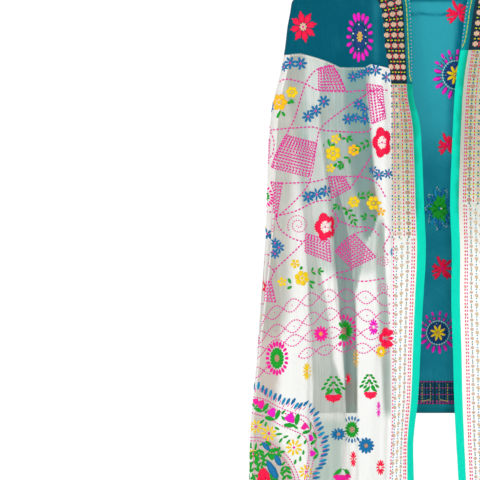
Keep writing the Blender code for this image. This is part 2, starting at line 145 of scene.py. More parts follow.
# Folds that hang over an edge, in millimetres: across at the edge for each depth, which way
# the hollow lies (+1 outward), height, width of the crest, depth and width of the hollow
RIGHT_EDGES = (
    (((115, 282), (104, 421), (94, 488), (88, 560), (86, 610)), 1, 4.0, 14, 2.0, 12),
    (((190, 330), (187, 389), (171, 533), (163, 661), (145, 725), (147, 821), (150, 1130)),
     -1, 5.0, 13, 3.0, 9),
    (((127, 560), (128, 640), (128, 800), (124, 1130)), 1, 5.0, 16, 3.0, 9),
    (((84, 600), (86, 700), (84, 860), (86, 1130)), -1, 2.0, 10, 2.0, 8),
    (((206, 600), (205, 700), (207, 830), (204, 1130)), -1, 3.2, 12, 2.2, 9),
)
LEFT_EDGES = (
    (((124, 282), (112, 421), (106, 520), (100, 620)), 1, 4.0, 14, 2.0, 12),
    (((196, 330), (190, 440), (178, 580), (166, 700), (160, 860), (166, 1130)),
     -1, 5.0, 13, 3.0, 9),
    (((134, 600), (136, 740), (132, 900), (134, 1130)), 1, 5.0, 16, 3.0, 9),
    (((214, 560), (216, 760), (212, 1130)), -1, 3.2, 12, 2.2, 9),
)
EDGE_DROP = 3.2  # millimetres across the steep side
EDGE_FADE = 70.0

# Height of the seam across each front: x, z
RIGHT_SEAM = (
    (0.0745, -0.2914), (0.1080, -0.2830), (0.1170, -0.2880), (0.1550, -0.2880),
    (0.1740, -0.2790), (0.1940, -0.2722), (0.2180, -0.2658), (0.2500, -0.2680),
)
LEFT_SEAM = (
    (0.0800, -0.2610), (0.1100, -0.2560), (0.1300, -0.2660), (0.1650, -0.2700),
    (0.2050, -0.2640), (0.2500, -0.2680),
)


# The tables and the direction of X of one half of the shawl
Half = namedtuple("Half", "name sign gap_column inner_column folds edges seam creases")


# Least and most of each measure of the fine creases: the height where they start; across,
# drift and how far down they reach; width, height and phase
CREASE_COUNT = 64
CREASE_TOPS = (-0.86, -0.22)
CREASE_PLACES = ((0.080, 0.292), (-0.008, 0.006), (0.08, 0.32))
CREASE_SHAPES = ((0.0022, 0.0060), (-0.0011, 0.0013), (0, 2 * math.pi))


def creases_of(seed):
    """Fine upright creases: (across, drift, from, to, width, height, phase), in metres."""
    pick = np.random.RandomState(seed)
    rows = []
    for _ in range(CREASE_COUNT):
        top = pick.uniform(*CREASE_TOPS)
        across, drift, fall = (pick.uniform(*span) for span in CREASE_PLACES)
        width, height, phase = (pick.uniform(*span) for span in CREASE_SHAPES)
        rows.append((across, drift, top, top - fall, width, height, phase))
    return rows


def eased(share):
    share = np.clip(share, 0.0, 1.0)
    return share * share * (3 - 2 * share)


def running_total(steps):
    """How far along each point lies, from the steps between them."""
    return np.concatenate(([0.0], np.cumsum(steps)))


def rounded_over(depth, radius=FOLD_OVER):
    """0 on the ridge of the arm and 1 from one radius below it, along a quarter circle."""
    share = np.clip(depth / radius, 0.0, 1.0)
    return np.sqrt(1 - (1 - share) ** 2)


def over_arm(x, z):
    """rounded_over at the depth below the ridge over x."""
    return rounded_over(ridge_z(np.minimum(x, ARM_END_X)) - z)


def along(z, column):
    """A smooth line through one column of SECTIONS, at the heights z."""
    rows = np.array(SECTIONS[::-1])
    heights, values = rows[:, 0], rows[:, column]
    slopes = np.gradient(values, heights)
    z = np.clip(z, heights[0], heights[-1])
    k = np.clip(np.searchsorted(heights, z) - 1, 0, len(heights) - 2)
    step = heights[k + 1] - heights[k]
    t = (z - heights[k]) / step
    start = values[k] * (1 + 2 * t) * (1 - t) ** 2 + slopes[k] * step * t * (1 - t) ** 2
    end = values[k + 1] * t * t * (3 - 2 * t) + slopes[k + 1] * step * t * t * (t - 1)
    return start + end


def ridge_z(x):
    """Height of the cloth's ridge over the hanger's arms."""
    return APEX_Z - ARM_SLOPE * (np.hypot(x, ARM_BEND) - ARM_BEND)


def relief(x, z, folds):
    """How far the soft folds stand out of the cloth."""
    total = np.zeros(np.broadcast(x, z).shape)
    for x_top, x_bottom, z_from, z_to, half_width, height in folds:
        fall = (z_from - z) / (z_from - z_to)
        centre = x_top + (x_bottom - x_top) * np.clip(fall, 0, 1)
        across = np.clip((x - centre) / half_width, -1, 1)
        fade = eased(fall / 0.25) * (1 - eased((z_to - z) / FOLD_FADE))
        total = total + height * np.cos(across * math.pi / 2) ** 2 * fade
    return total


def hung_over(x, z, edges):
    """How far the folds with a sharp edge stand out: a crest, a drop and a hollow beyond."""
    total = np.zeros(np.broadcast(x, z).shape)
    across, down = x / MM, -z / MM
    for path, outward, height, crest, hollow, hollow_width in edges:
        path_across, path_down = np.array(path, float).T
        past = (across - np.interp(down, path_down, path_across)) * outward
        rise = np.exp(-((np.minimum(past, 0) / crest) ** 2))
        drop = eased(past / EDGE_DROP)
        away = 1 - eased((past - EDGE_DROP) / hollow_width)
        shape = height * rise * (1 - drop) - hollow * drop * away
        fade = eased((down - path_down[0]) / EDGE_FADE) * (
            1 - eased((down - path_down[-1] + EDGE_FADE) / EDGE_FADE)
        )
        total = total + shape * fade
    return total * MM


def creased(x, z, creases):
    total = np.zeros(np.broadcast(x, z).shape)
    for middle, drift, z_from, z_to, width, height, phase in creases:
        fall = (z_from - z) / (z_from - z_to)
        centre = middle + drift * fall + 0.0022 * np.sin(phase + z / 0.035)
        fade = eased(fall / 0.3) * (1 - eased((fall - 0.7) / 0.3))
        total = total + height * np.exp(-(((x - centre) / width) ** 2)) * fade
    return total


def front_relief(x, z, half):
    return relief(x, z, half.folds) + hung_over(x, z, half.edges) + creased(x, z, half.creases)


def front_y(x, z, half):
    depth = ridge_z(np.minimum(x, ARM_END_X)) - z
    swell = FRONT_SWELL * eased(depth / SWELL_DEPTH)
    return -(FOLD_OVER + swell + front_relief(x, z, half) * eased(depth / FOLD_START))


def back_y(x, z):
    depth = ridge_z(np.minimum(x, ARM_END_X)) - z
    swell = BACK_SWELL * eased(depth / SWELL_DEPTH)
    return FOLD_OVER + swell + relief(x, z, BACK_FOLDS) * eased(depth / FOLD_START)


def pleat_plan():
    """(share of the way round, reach in from the outline, share of the depth) of each column
    of the side, from the front panel to the back panel."""
    pitch = 1 / len(PLEAT_TURNS)
    rows = []
    for k, inset in enumerate(PLEAT_TURNS):
        outward = 1 if k % 2 == 0 else -1
        for angle in np.linspace(0, math.pi, TURN_STEPS + 1):
            reach = inset + outward * PLEAT_TURN_R * (1 - math.sin(angle))
            rows.append((reach, (k + (1 - math.cos(angle)) / 2) * pitch))
        if k + 1 < len(PLEAT_TURNS):
            following = PLEAT_TURNS[k + 1] - outward * PLEAT_TURN_R
            for share in np.linspace(0, 1, RUN_STEPS + 2)[1:-1]:
                rows.append((reach + (following - reach) * share, (k + 1) * pitch))
    reach, level = np.array(rows).T
    steps = np.hypot(np.diff(reach), np.diff(level) * PLEAT_DEPTH_Y)
    around = running_total(steps) / steps.sum()
    return around, reach, level


AROUND, REACH, LEVEL = pleat_plan()
FRONT_SHARES = np.linspace(0, 1, FRONT_COLUMNS + 1)
RIDGE_SHARES = np.linspace(1, INNER_RIDGE_X / ARM_END_X, BACK_COLUMNS + 1)
BACK_SHARES = np.concatenate((RIDGE_SHARES, NECK_SHARES * INNER_RIDGE_X / ARM_END_X))
LAST_FRONT = FRONT_COLUMNS
FIRST_BACK = FRONT_COLUMNS + len(AROUND) - 1
COLUMNS = FIRST_BACK + len(BACK_SHARES)
SEAM_COLUMN = FIRST_BACK + int(np.argmin(abs(BACK_SHARES - SEAM_SHARE)))
RIDGE_COLUMN = FIRST_BACK + BACK_COLUMNS
CORNER_COLUMN = FIRST_BACK - 2 * (TURN_STEPS + 1 + RUN_STEPS) + RUN_STEPS
INNER_CORNER = CORNER_COLUMN - TURN_STEPS - 1 - RUN_STEPS


def pleating(z):
    return eased((PLEAT_START_Z - z) / (PLEAT_START_Z - PLEAT_FULL_Z))


def side_x(z, around, reach):
    """X of a side column: round the outline high up, and in and out of the pleats below."""
    bow = SIDE_ROUND * side_depth(z) * (1 - np.sin(math.pi * around))
    return along(z, OUTLINE) - bow * (1 - pleating(z)) - pleating(z) * reach


def side_depth(z):
    """How far apart front and back lie at the side."""
    depth = np.maximum(ridge_z(ARM_END_X) - z, 0)
    return 2 * FOLD_OVER + (FRONT_SWELL + BACK_SWELL) * eased(depth / SWELL_DEPTH)


def neck_line_z(x, inner):
    """Height of the upper band's inner line, or of its edge, behind the neck."""
    ridge_x = INNER_RIDGE_X if inner else NECK_X
    low = BACK_NECK_Z - (BAND if inner else 0)
    return low + (ridge_z(ridge_x) - low) * (x / ridge_x) ** NECK_CURVE


def column_top(column):
    """(x, z) of the highest point of a column."""
    if column <= LAST_FRONT:
        x = INNER_RIDGE_X + (ARM_END_X - INNER_RIDGE_X) * FRONT_SHARES[column]
    elif column < FIRST_BACK:
        x = ARM_END_X
    else:
        x = BACK_SHARES[column - FIRST_BACK] * ARM_END_X
    return x, ridge_z(x) if column <= RIDGE_COLUMN else neck_line_z(x, True)


def side_point(k, z, half):
    """(x, y) at place k, which may lie between two columns, of the pleated side."""
    place = np.arange(len(AROUND))
    around = np.interp(k, place, AROUND)
    level = np.interp(k, place, LEVEL)
    x = side_x(z, around, np.interp(k, place, REACH))
    start = front_y(side_x(z, AROUND[0], REACH[0]), z, half)
    end = back_y(side_x(z, 1.0, REACH[-1]), z)
    full = pleating(z)
    rounded = (1 - np.cos(math.pi * around)) / 2
    pleated = (1 - full) * around + full * level
    share = rounded + (pleated - rounded) * eased(full * PLEAT_ONSET)
    return x, start + (end - start) * share


def cloth_point(column, z, half):
    """(x, y) arrays of one column at the heights z, on the half's own side."""
    x_top, z_top = column_top(column)
    depth = z_top - z
    if column <= LAST_FRONT:
        share = FRONT_SHARES[column]
        inner = along(z, half.inner_column)
        x = inner + (side_x(z, AROUND[0], REACH[0]) - inner) * share
        x = x + (x_top - x) * (1 - eased(depth / (FOLD_OVER + FRONT_SETTLE * (1 - share))))
        return x, front_y(x, z, half) * over_arm(x, z)
    if column < FIRST_BACK:
        x, y = side_point(column - LAST_FRONT, z, half)
        turned = rounded_over(depth)
        return x + (x_top - x) * (1 - turned), y * turned
    share = BACK_SHARES[column - FIRST_BACK]
    x = share * side_x(z, 1.0, REACH[-1])
    x = x + (x_top - x) * (1 - eased(depth / (FOLD_OVER + BACK_SETTLE * (1 - share))))
    return x, back_y(x, z) * over_arm(x, z)


def seam_z(column, half):
    if column > LAST_FRONT:
        return SIDE_SEAM_Z
    x, _ = cloth_point(column, np.array(SIDE_SEAM_Z), half)
    xs, zs = np.array(half.seam).T
    return float(np.interp(x, xs, zs))


def lower_line_z(column, above_edge):
    """Height of a line that runs above_edge over the free lower edge."""
    first = INNER_CORNER if above_edge > TAPE else CORNER_COLUMN
    low = FRONT_END_Z + min(above_edge, TAPE)
    if column <= first:
        return low
    share = min((column - first) / (SEAM_COLUMN - first), 1.0)
    return low + (BACK_HEM_Z + above_edge - low) * share


SEAM_ROW = len(TURN_OVER) - 1 + UPPER_ROWS
PANEL_END = SEAM_ROW + LOWER_ROWS
TAPE_ROW = PANEL_END + BORDER_ROWS
BOTTOM_ROW = TAPE_ROW + TAPE_ROWS


def column_heights(column, half):
    """Heights of the column's rows, from the ridge to the free edge."""
    _, top = column_top(column)
    heights = [top - FOLD_OVER * (1 - np.cos(TURN_OVER))]
    start = top - FOLD_OVER
    for end, rows in (
        (seam_z(column, half), UPPER_ROWS),
        (lower_line_z(column, BAND), LOWER_ROWS),
        (lower_line_z(column, TAPE), BORDER_ROWS),
        (lower_line_z(column, 0), TAPE_ROWS),
    ):
        heights.append(np.linspace(start, end, rows + 1)[1:])
        start = end
    return np.concatenate(heights)


def cloth_grid(half):
    """Points of the half's cloth between the upper band and the free edge, by row and column."""
    grid = np.empty((BOTTOM_ROW + 1, COLUMNS, 3))
    for column in range(COLUMNS):
        z = column_heights(column, half)
        x, y = cloth_point(column, z, half)
        grid[:, column] = np.stack((x * half.sign, y, z), axis=1)
    return grid


BAND_WIDTHS = np.concatenate((np.linspace(0, TAPE, 5), np.linspace(TAPE, BAND, 13)[1:])) / BAND
TAPE_COLUMNS = 4
BAND_RIDGE = COLUMNS - 1 - RIDGE_COLUMN
BAND_SEAM = {"right": BAND_RIDGE + SEAM_ROW + 4, "left": BAND_RIDGE + SEAM_ROW}
RIPPLE = 0.0011
RIPPLE_LENGTH = 0.043


def band_grid(half):
    """Points of the upper band from centre back, over the ridge and down the front: a row for
    each place along it, and columns from the edge tape to the inner line."""
    rows = []
    for column in range(COLUMNS - 1, RIDGE_COLUMN, -1):
        inner_x, inner_z = column_top(column)
        inner_x = float(cloth_point(column, np.array(inner_z), half)[0])
        outer_x = inner_x * NECK_X / INNER_RIDGE_X
        x = outer_x + (inner_x - outer_x) * BAND_WIDTHS
        outer_z = neck_line_z(outer_x, False)
        z = outer_z + (inner_z - outer_z) * BAND_WIDTHS
        y = back_y(x, z) * over_arm(x, z)
        rows.append(np.stack((x * half.sign, y, z), axis=1))
    heights = column_heights(0, half)
    heights[TAPE_ROW:] = np.linspace(FRONT_END_Z + TAPE, FRONT_END_Z, TAPE_ROWS + 1)
    rise = ridge_z(NECK_X) - ridge_z(INNER_RIDGE_X)
    for inner_z in heights:
        below = heights[0] - inner_z
        outer_z = inner_z + rise * (1 - eased(below / BAND_LEVEL))
        inner_x = float(cloth_point(0, np.array(inner_z), half)[0])
        free = rounded_over(below, BAND_SETTLE)
        outer_x = NECK_X + (float(along(outer_z, half.gap_column)) - NECK_X) * free
        x = outer_x + (inner_x - outer_x) * BAND_WIDTHS
        z = outer_z + (inner_z - outer_z) * BAND_WIDTHS
        roll = ROLL * eased(below / ROLL_DEPTH) * (1 - BAND_WIDTHS) ** 2
        ripple = RIPPLE * np.sin(inner_z / RIPPLE_LENGTH * 2 * math.pi) * (1 - BAND_WIDTHS)
        y = front_y(inner_x, inner_z, half) * (over_arm(x, z) if below > 0 else 0)
        y = y + roll + ripple * eased(below / ROLL_DEPTH)
        rows.append(np.stack((x * half.sign, y, z), axis=1))
    return np.array(rows)


HALVES = (
    Half("right", -1, GAP_RIGHT, INNER_RIGHT, RIGHT_FOLDS, RIGHT_EDGES, RIGHT_SEAM, creases_of(5)),
    Half("left", 1, GAP_LEFT, INNER_LEFT, LEFT_FOLDS, LEFT_EDGES, LEFT_SEAM, creases_of(8)),
)


# ---- Meshes ---------------------------------------------------------------------------


def new_piece(name, points, faces, finish, places, cut=None):
    """An object from arrays of points and faces. places holds numbers for each point, and cut
    its place on the flat cloth. A triangle says its last corner twice."""
    mesh = bpy.data.meshes.new(name)
    sizes = np.full(len(faces), faces.shape[1])
    triangle = faces[:, -1] == faces[:, -2]
    sizes[triangle] -= 1
    corners = faces[np.arange(faces.shape[1]) < sizes[:, None]]
    mesh.vertices.add(len(points))
    mesh.vertices.foreach_set("co", np.asarray(points, np.float32).ravel())
    mesh.loops.add(len(corners))
    mesh.loops.foreach_set("vertex_index", corners.astype(np.int32))
    mesh.polygons.add(len(faces))
    mesh.polygons.foreach_set("loop_start", (np.cumsum(sizes) - sizes).astype(np.int32))
    mesh.update(calc_edges=True)
    for label, values in places.items():
        spot = mesh.attributes.new(label, "FLOAT", "POINT")
        spot.data.foreach_set("value", np.asarray(values, np.float32))
    if cut is not None:
        corner = np.empty(len(mesh.loops), np.int32)
        mesh.loops.foreach_get("vertex_index", corner)
        chart = mesh.uv_layers.new(name="cut")
        chart.data.foreach_set("uv", np.asarray(cut, np.float32)[corner].ravel())
    mesh.shade_smooth()
    mesh.materials.append(finish)
    obj = bpy.data.objects.new(name, mesh)
    bpy.context.scene.collection.objects.link(obj)
    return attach(obj, "root")


WELD = 0.00001  # metres between points that are one, where two sheets meet


def cut_lengths(grid):
    """For each point of a grid, its distance along the row and down the column, in metres."""
    across = np.linalg.norm(np.diff(grid, axis=1), axis=2)
    down = np.linalg.norm(np.diff(grid, axis=0), axis=2)
    u = np.concatenate((np.zeros((len(grid), 1)), np.cumsum(across, axis=1)), axis=1)
    v = np.concatenate((np.zeros((1, grid.shape[1])), np.cumsum(down, axis=0)), axis=0)
    return np.stack((u, v), axis=2)


def cloth_piece(name, sheets, finish):
    """One piece from the chosen quads of one or more grids. Each row of sheets: the grid, its
    CLOTH_NUMBERS, which quads, and whether they are turned over."""
    points, faces, cuts, fulls = [], [], [], []
    count = 0
    for grid, fullness, chosen, turned in sheets:
        rows, columns = grid.shape[:2]
        index = np.arange(rows * columns).reshape(rows, columns)
        quads = np.stack(
            (index[:-1, :-1], index[:-1, 1:], index[1:, 1:], index[1:, :-1]), axis=2
        )[chosen]
        if turned:
            quads = quads[:, ::-1]
        used, faces_of = np.unique(quads, return_inverse=True)
        points.append(grid.reshape(-1, 3)[used])
        cuts.append(cut_lengths(grid).reshape(-1, 2)[used])
        fulls.append(fullness.reshape(index.size, -1)[used])
        faces.append(faces_of.reshape(-1, 4) + count)
        count += len(used)
    piece = new_piece(
        name,
        np.concatenate(points),
        np.concatenate(faces),
        finish,
        places=dict(zip(CLOTH_NUMBERS, np.concatenate(fulls).T)),
        cut=np.concatenate(cuts),
    )
    if len(sheets) > 1:
        mesh = bmesh.new()
        mesh.from_mesh(piece.data)
        bmesh.ops.remove_doubles(mesh, verts=mesh.verts, dist=WELD)
        mesh.to_mesh(piece.data)
        mesh.free()
    return piece


# Painted shade on the end panels. Where they lie in a single layer they are sheerer, and
# their colour is mixed towards a deeper green-grey: partly what shows through, partly painted
# shade. Where folds and layers behind would shade them, a warm or a cool painted shade is
# mixed in. Each row: how sheer, how much warm and how much cool painted shade, 0 to 1; how
# soft its inner and outer sides are; and its course (down, inner side, outer side), in
# millimetres from the top of the hook and the centre front.
HOLLOWS = (
    (0.30, 0.0, 0.29, 16, 30, ((262, 100, 250), (341, 104, 244), (437, 99, 232), (620, 88, 200))),
    (0.56, 0.0, 0.29, 4, 5, (
        (262, 100, 176), (309, 108, 186), (341, 108, 190), (405, 103, 183), (469, 99, 176),
        (533, 95, 168), (565, 112, 165), (600, 118, 163), (650, 130, 158),
    )),
    (1.00, 0.0, 0.48, 3, 36, (
        (268, 112, 150), (341, 113, 152), (405, 105, 148), (469, 101, 140), (517, 93, 129),
        (545, 100, 124), (570, 114, 120),
    )),
    (1.00, 0.2, 0.00, 4, 5, (
        (480, 159, 161), (533, 146, 166), (565, 140, 165), (597, 136, 164), (629, 134, 160),
        (661, 131, 157), (725, 129, 152), (789, 128, 148), (860, 128, 145),
    )),
    (0.50, 0.0, 0.32, 20, 20, ((252, 206, 256), (309, 206, 244), (437, 201, 226), (520, 202, 218))),
    (0.40, 0.35, 0.32, 8, 4, (
        (480, 200, 217), (600, 190, 209), (661, 177, 206), (700, 172, 203), (757, 166, 200),
        (805, 148, 199), (890, 148, 200), (949, 152, 202), (1140, 154, 206),
    )),
    (0.40, 0.55, 0.85, 10, 5, ((850, 150, 196), (900, 152, 198), (1140, 156, 204))),
    (0.45, 0.0, 0.48, 4, 8, (
        (533, 84, 98), (597, 84, 100), (661, 79, 95), (725, 75, 92), (845, 74, 86),
    )),
    (0.25, 0.70, 0.30, 24, 4, (
        (262, 215, 330), (437, 228, 330), (560, 234, 330), (661, 236, 330), (720, 250, 330),
    )),
    (0.10, 0.95, 0.00, 6, 4, ((510, 260, 330), (597, 256, 330), (661, 248, 330), (800, 254, 330))),
    (0.10, 0.95, 0.00, 18, 4, (
        (770, 252, 330), (870, 262, 330), (915, 238, 330), (965, 216, 330), (1140, 216, 330),
    )),
)
HOLLOW_FADE = 26.0
# Painted light on the back: its teal is paler high up, where light comes through from behind, and deepens
# further down.
BACK_SHADE_DEPTH = 0.62
BACK_DEEPENS_FROM = 290
BACK_DEEPENS_OVER = 200
# Painted shade on the back where it creases or doubles below the neck: how far down, how far
# it fades, depth
BACK_CREASE_SHADOWS = ((177.0, 5.0, 0.95), (201.0, 3.0, 0.85))
CREASE_HALF_WIDTH = 62.0
CREASE_END_FADE = 18
TAPE_TOP_LIT = ((0.31, 0.25), (0.36, 0.5), (0.44, 1.0))  # the right tape: metres down, how lit
# Painted shadow on the back beside the left front's edge.
EDGE_SHADE = 8.5  # how far the back's deeper tone beside the left edge fades
EDGE_SHADE_DEPTH = ((180, 1.0), (270, 1.0), (340, 0.65), (430, 0.40), (600, 0.0))
EDGE_SHADE_INSET = 2
# Painted light: a lit strip of the teal front beside the neck border is made paler.
BESIDE_BORDER = 97.0  # where the teal is paler, next to the neck border
BESIDE_BORDER_FADE = 6
PALER = 0.10, 0.30  # how much paler the teal is in front, and further beside the border
# Painted shade on the back's hem tape: how lit it is at its top and at its free edge.
HEM_TAPE_DEPTHS = 0.45, 0.0
# Numbers on each point of the cloth: painted light and shade of the teal and the tapes; sheerness of the
# cream, which also mixes in painted shade there and on the borders; and warm and cool painted shade of the
# cream.
CLOTH_NUMBERS = ("fullness", "sheerness", "warmth", "coolness")
# Sheerness, and warm and cool painted shade, round the pleats and on the back.
ROUND_THE_SIDE = (0.10, 0.25, 0.0)


def painted_shading_of(grid, half):
    """CLOTH_NUMBERS at each point, 0 to 1: how deep the teal's colour is, which is painted
    light and shade; how sheer the cream is, with painted shade; and how much warm and cool
    painted shade it lies in."""
    x, down = abs(grid[..., 0]) / MM, -grid[..., 2] / MM
    full = np.ones(grid.shape[:2])
    full[:, FIRST_BACK:] = BACK_SHADE_DEPTH * eased(
        (down[:, FIRST_BACK:] - BACK_DEEPENS_FROM) / BACK_DEEPENS_OVER
    )
    near = eased((CREASE_HALF_WIDTH - x) / CREASE_END_FADE)
    deeper = []
    for level, soft, depth in BACK_CREASE_SHADOWS:
        deeper.append(near * depth * np.exp(-(((down - level) / soft) ** 2)))
    if half.sign > 0:
        beside = x - along(grid[..., 2], half.gap_column) / MM + EDGE_SHADE_INSET
        downs, depths = np.array(EDGE_SHADE_DEPTH).T
        deeper.append(np.exp(-((beside / EDGE_SHADE) ** 2)) * np.interp(down, downs, depths))
    for tone in deeper:
        full[:, FIRST_BACK:] = np.maximum(full, tone)[:, FIRST_BACK:]
    full[TAPE_ROW:, FIRST_BACK:] = np.linspace(*HEM_TAPE_DEPTHS, TAPE_ROWS + 1)[:, None]
    paler = PALER[0] + PALER[1] * np.exp(-(((x - BESIDE_BORDER) / BESIDE_BORDER_FADE) ** 2))
    full[:SEAM_ROW, : LAST_FRONT + 1] -= paler[:SEAM_ROW, : LAST_FRONT + 1]
    tones = np.zeros((*grid.shape[:2], 3))
    for sheer, warm, cool, soft_inner, soft_outer, course in HOLLOWS:
        downs, inner, outer = np.array(course, float).T
        inner, outer = np.interp(down, downs, inner), np.interp(down, downs, outer)
        inside = eased((x - inner) / soft_inner + 0.5) * eased((outer - x) / soft_outer + 0.5)
        inside = inside * eased((down - downs[0]) / HOLLOW_FADE + 0.5)
        inside = inside * eased((downs[-1] - down) / HOLLOW_FADE + 0.5)
        tones = np.maximum(tones, inside[..., None] * (sheer, warm, cool))
    tones[:, LAST_FRONT + 1 :] = ROUND_THE_SIDE
    return np.concatenate((full[..., None], tones), axis=2)


# The straight cloth as it was cut, not as it is modelled: the length of its teal stretch and
# of each end, its whole width, and the width of a panel between borders and tapes.
MIDDLE_CUT = 0.52
END_CUT = 0.84
CLOTH_WIDTH = 0.76
PANEL_CUT = CLOTH_WIDTH - 2 * BAND


# ---- Finishes -------------------------------------------------------------------------


def ink(red, green, blue):
    """A colour given in 0 to 255, as the shader wants it."""
    shares = np.array((red, green, blue)) / 255
    linear = np.where(shares <= 0.04045, shares / 12.92, ((shares + 0.055) / 1.055) ** 2.4)
    return (*linear.tolist(), 1.0)


class Value:
    """A number in a material, so that shader maths reads as arithmetic."""

    def __init__(self, paint, socket):
        self.paint = paint
        self.socket = socket

    def __add__(self, other):
        return self.paint.maths("ADD", self, other)

    def __radd__(self, other):
        return self.paint.maths("ADD", other, self)

    def __sub__(self, other):
        return self.paint.maths("SUBTRACT", self, other)

    def __rsub__(self, other):
        return self.paint.maths("SUBTRACT", other, self)

    def __mul__(self, other):
        return self.paint.maths("MULTIPLY", self, other)


class Paint:
    """A material under way: its nodes, made one by one, and its surface shader."""

    def __init__(self, name):
        self.material = bpy.data.materials.new(name)
        self.material.use_nodes = True
        self.tree = self.material.node_tree
        self.tree.nodes.clear()
        self.surface = self.tree.nodes.new("ShaderNodeBsdfPrincipled")
        self.output = self.tree.nodes.new("ShaderNodeOutputMaterial")
        self.tree.links.new(self.surface.outputs["BSDF"], self.output.inputs["Surface"])

    def node(self, kind, settings=(), sockets=(), out=0):
        """Adds a node: its settings first, then its sockets, and gives one output."""
        made = self.tree.nodes.new(kind)
        for name, value in dict(settings).items():
            setattr(made, name, value)
        for name, value in dict(sockets).items():
            self.feed(made.inputs[name], value)
        return Value(self, made.outputs[out])

    def feed(self, socket, value):
        if isinstance(value, Value):
            self.tree.links.new(value.socket, socket)
        else:
            socket.default_value = value

    def maths(self, operation, *values):
        return self.node("ShaderNodeMath", {"operation": operation}, enumerate(values))

    def wave(self, value):
        return self.maths("SINE", value)

    def between(self, value, low, high):
        """0 below low and 1 above high, with a smooth step between."""
        return self.node(
            "ShaderNodeMapRange",
            {"interpolation_type": "SMOOTHSTEP"},
            {0: value, 1: low, 2: high},
        )

    def mixed(self, share, first, second):
        """A colour between two."""
        return self.node(
            "ShaderNodeMix", {"data_type": "RGBA"}, {0: share, 6: first, 7: second}, out=2
        )

    def noise(self, place, scale, detail=2.0):
        return self.node(
            "ShaderNodeTexNoise", {}, {"Vector": place, "Scale": scale, "Detail": detail}
        )

    def place(self):
        """The point of the object, in metres."""
        return self.node("ShaderNodeTexCoord", out="Object")

    def on_cut(self):
        """(across, down) on the flat cloth, in metres."""
        chart = self.node("ShaderNodeUVMap", {"uv_map": "cut"})
        split = {"Vector": chart}
        return (
            self.node("ShaderNodeSeparateXYZ", {}, split, out="X"),
            self.node("ShaderNodeSeparateXYZ", {}, split, out="Y"),
        )

    def spot(self, label):
        return self.node("ShaderNodeAttribute", {"attribute_name": label}, out="Fac")

    def bump(self, height, depth):
        return self.node("ShaderNodeBump", {}, {"Height": height, "Distance": depth})

    def let_light_through(self, colour, share):
        """Part of the light from the far side comes through."""
        through = self.node("ShaderNodeBsdfTranslucent", {}, {"Color": colour})
        face = Value(self, self.surface.outputs["BSDF"])
        both = self.node("ShaderNodeMixShader", {}, {0: share, 1: face, 2: through})
        self.feed(self.output.inputs["Surface"], both)

    def finish(self, **sockets):
        for name, value in sockets.items():
            label = name.replace("_", " ").title().replace("Ior", "IOR")
            self.feed(self.surface.inputs[label], value)
        return self.material


def yarns(paint, across, down, pitch):
    """A plain weave: bumps where the two sets of yarns cross over and under."""
    turn = 2 * math.pi / pitch
    return paint.wave(across * turn) * paint.wave(down * turn)


CREPE_PITCH = 0.0007
TAPE_PITCH = 0.0011
METAL_PITCH = 0.0043
STRAND_PITCH = 0.00055
# Noise scales, in patterns to a metre
CRINKLE = 210.0
CLOUDS = 24.0
BORDER_CLOUDS = 60.0
TAPE_CLOUDS = 45.0
FLOSS_CLOUDS = 420.0
SLUBS = {"across": 420.0, "down": 14.0}


def georgette(name, shallow, deep, deepens, shades=(), sheer_cover=1.0, lets_light=0.0):
    """Crepe that lets some light or some sight through. What deepens its colour is one of
    CLOTH_NUMBERS, and carries painted light and shade; shades are further painted shade
    colours, each with the number that mixes it in."""
    paint = Paint(name)
    across, down = paint.on_cut()
    place = paint.place()
    depth = paint.spot(deepens)
    crinkle = paint.noise(place, CRINKLE, 3.0)
    cloudy = paint.noise(place, CLOUDS, 3.0)
    stretched = {"X": across * SLUBS["across"], "Y": down * SLUBS["down"]}
    slubs = paint.noise(paint.node("ShaderNodeCombineXYZ", {}, stretched), 1.0)
    weave = yarns(paint, across, down, CREPE_PITCH)
    shifted = depth + (cloudy - 0.5) * 0.5 + (slubs - 0.5) * 0.35
    colour = paint.mixed(paint.between(shifted, 0.0, 1.0), shallow, deep)
    for number, shade in shades:
        colour = paint.mixed(paint.spot(number) * (0.8 + cloudy * 0.3), colour, shade)
    height = weave * 0.15 + crinkle * 1.1 + slubs * 1.5
    sockets = {
        "base_color": colour,
        "roughness": 0.78 + crinkle * 0.12,
        "normal": paint.bump(height, 0.0007),
        "specular_ior_level": 0.08,
    }
    if sheer_cover < 1.0:
        bare = paint.between(paint.spot("sheerness") + (slubs - 0.5) * 0.30, 0.05, 0.95)
        sockets["alpha"] = 1.0 - bare * (1.0 - sheer_cover) + (crinkle - 0.5) * 0.04
    finish = paint.finish(**sockets)
    if lets_light:
        paint.let_light_through(colour, lets_light)
    return finish


def woven_ground(name, colour, shade, glint, worn):
    """The ground of a brocade border: tight yarns with a metal thread here and there, and a
    greyer painted shade mixed in by the cloth's sheerness number."""
    paint = Paint(name)
    across, down = paint.on_cut()
    place = paint.place()
    weave = yarns(paint, across, down, CREPE_PITCH)
    cloudy = paint.noise(place, BORDER_CLOUDS, 3.0)
    metal = paint.between(paint.wave(down * (2 * math.pi / METAL_PITCH)), 0.86, 0.98)
    base = paint.mixed(cloudy * 0.8, colour, shade)
    base = paint.mixed(paint.spot("sheerness") * 0.9, base, worn)
    base = paint.mixed(metal * 0.3, base, glint)
    return paint.finish(
        base_color=base,
        roughness=0.58 - metal * 0.2,
        metallic=metal * 0.06,
        normal=paint.bump(weave * 0.5 + cloudy * 0.4, 0.00012),
        specular_ior_level=0.12,
    )


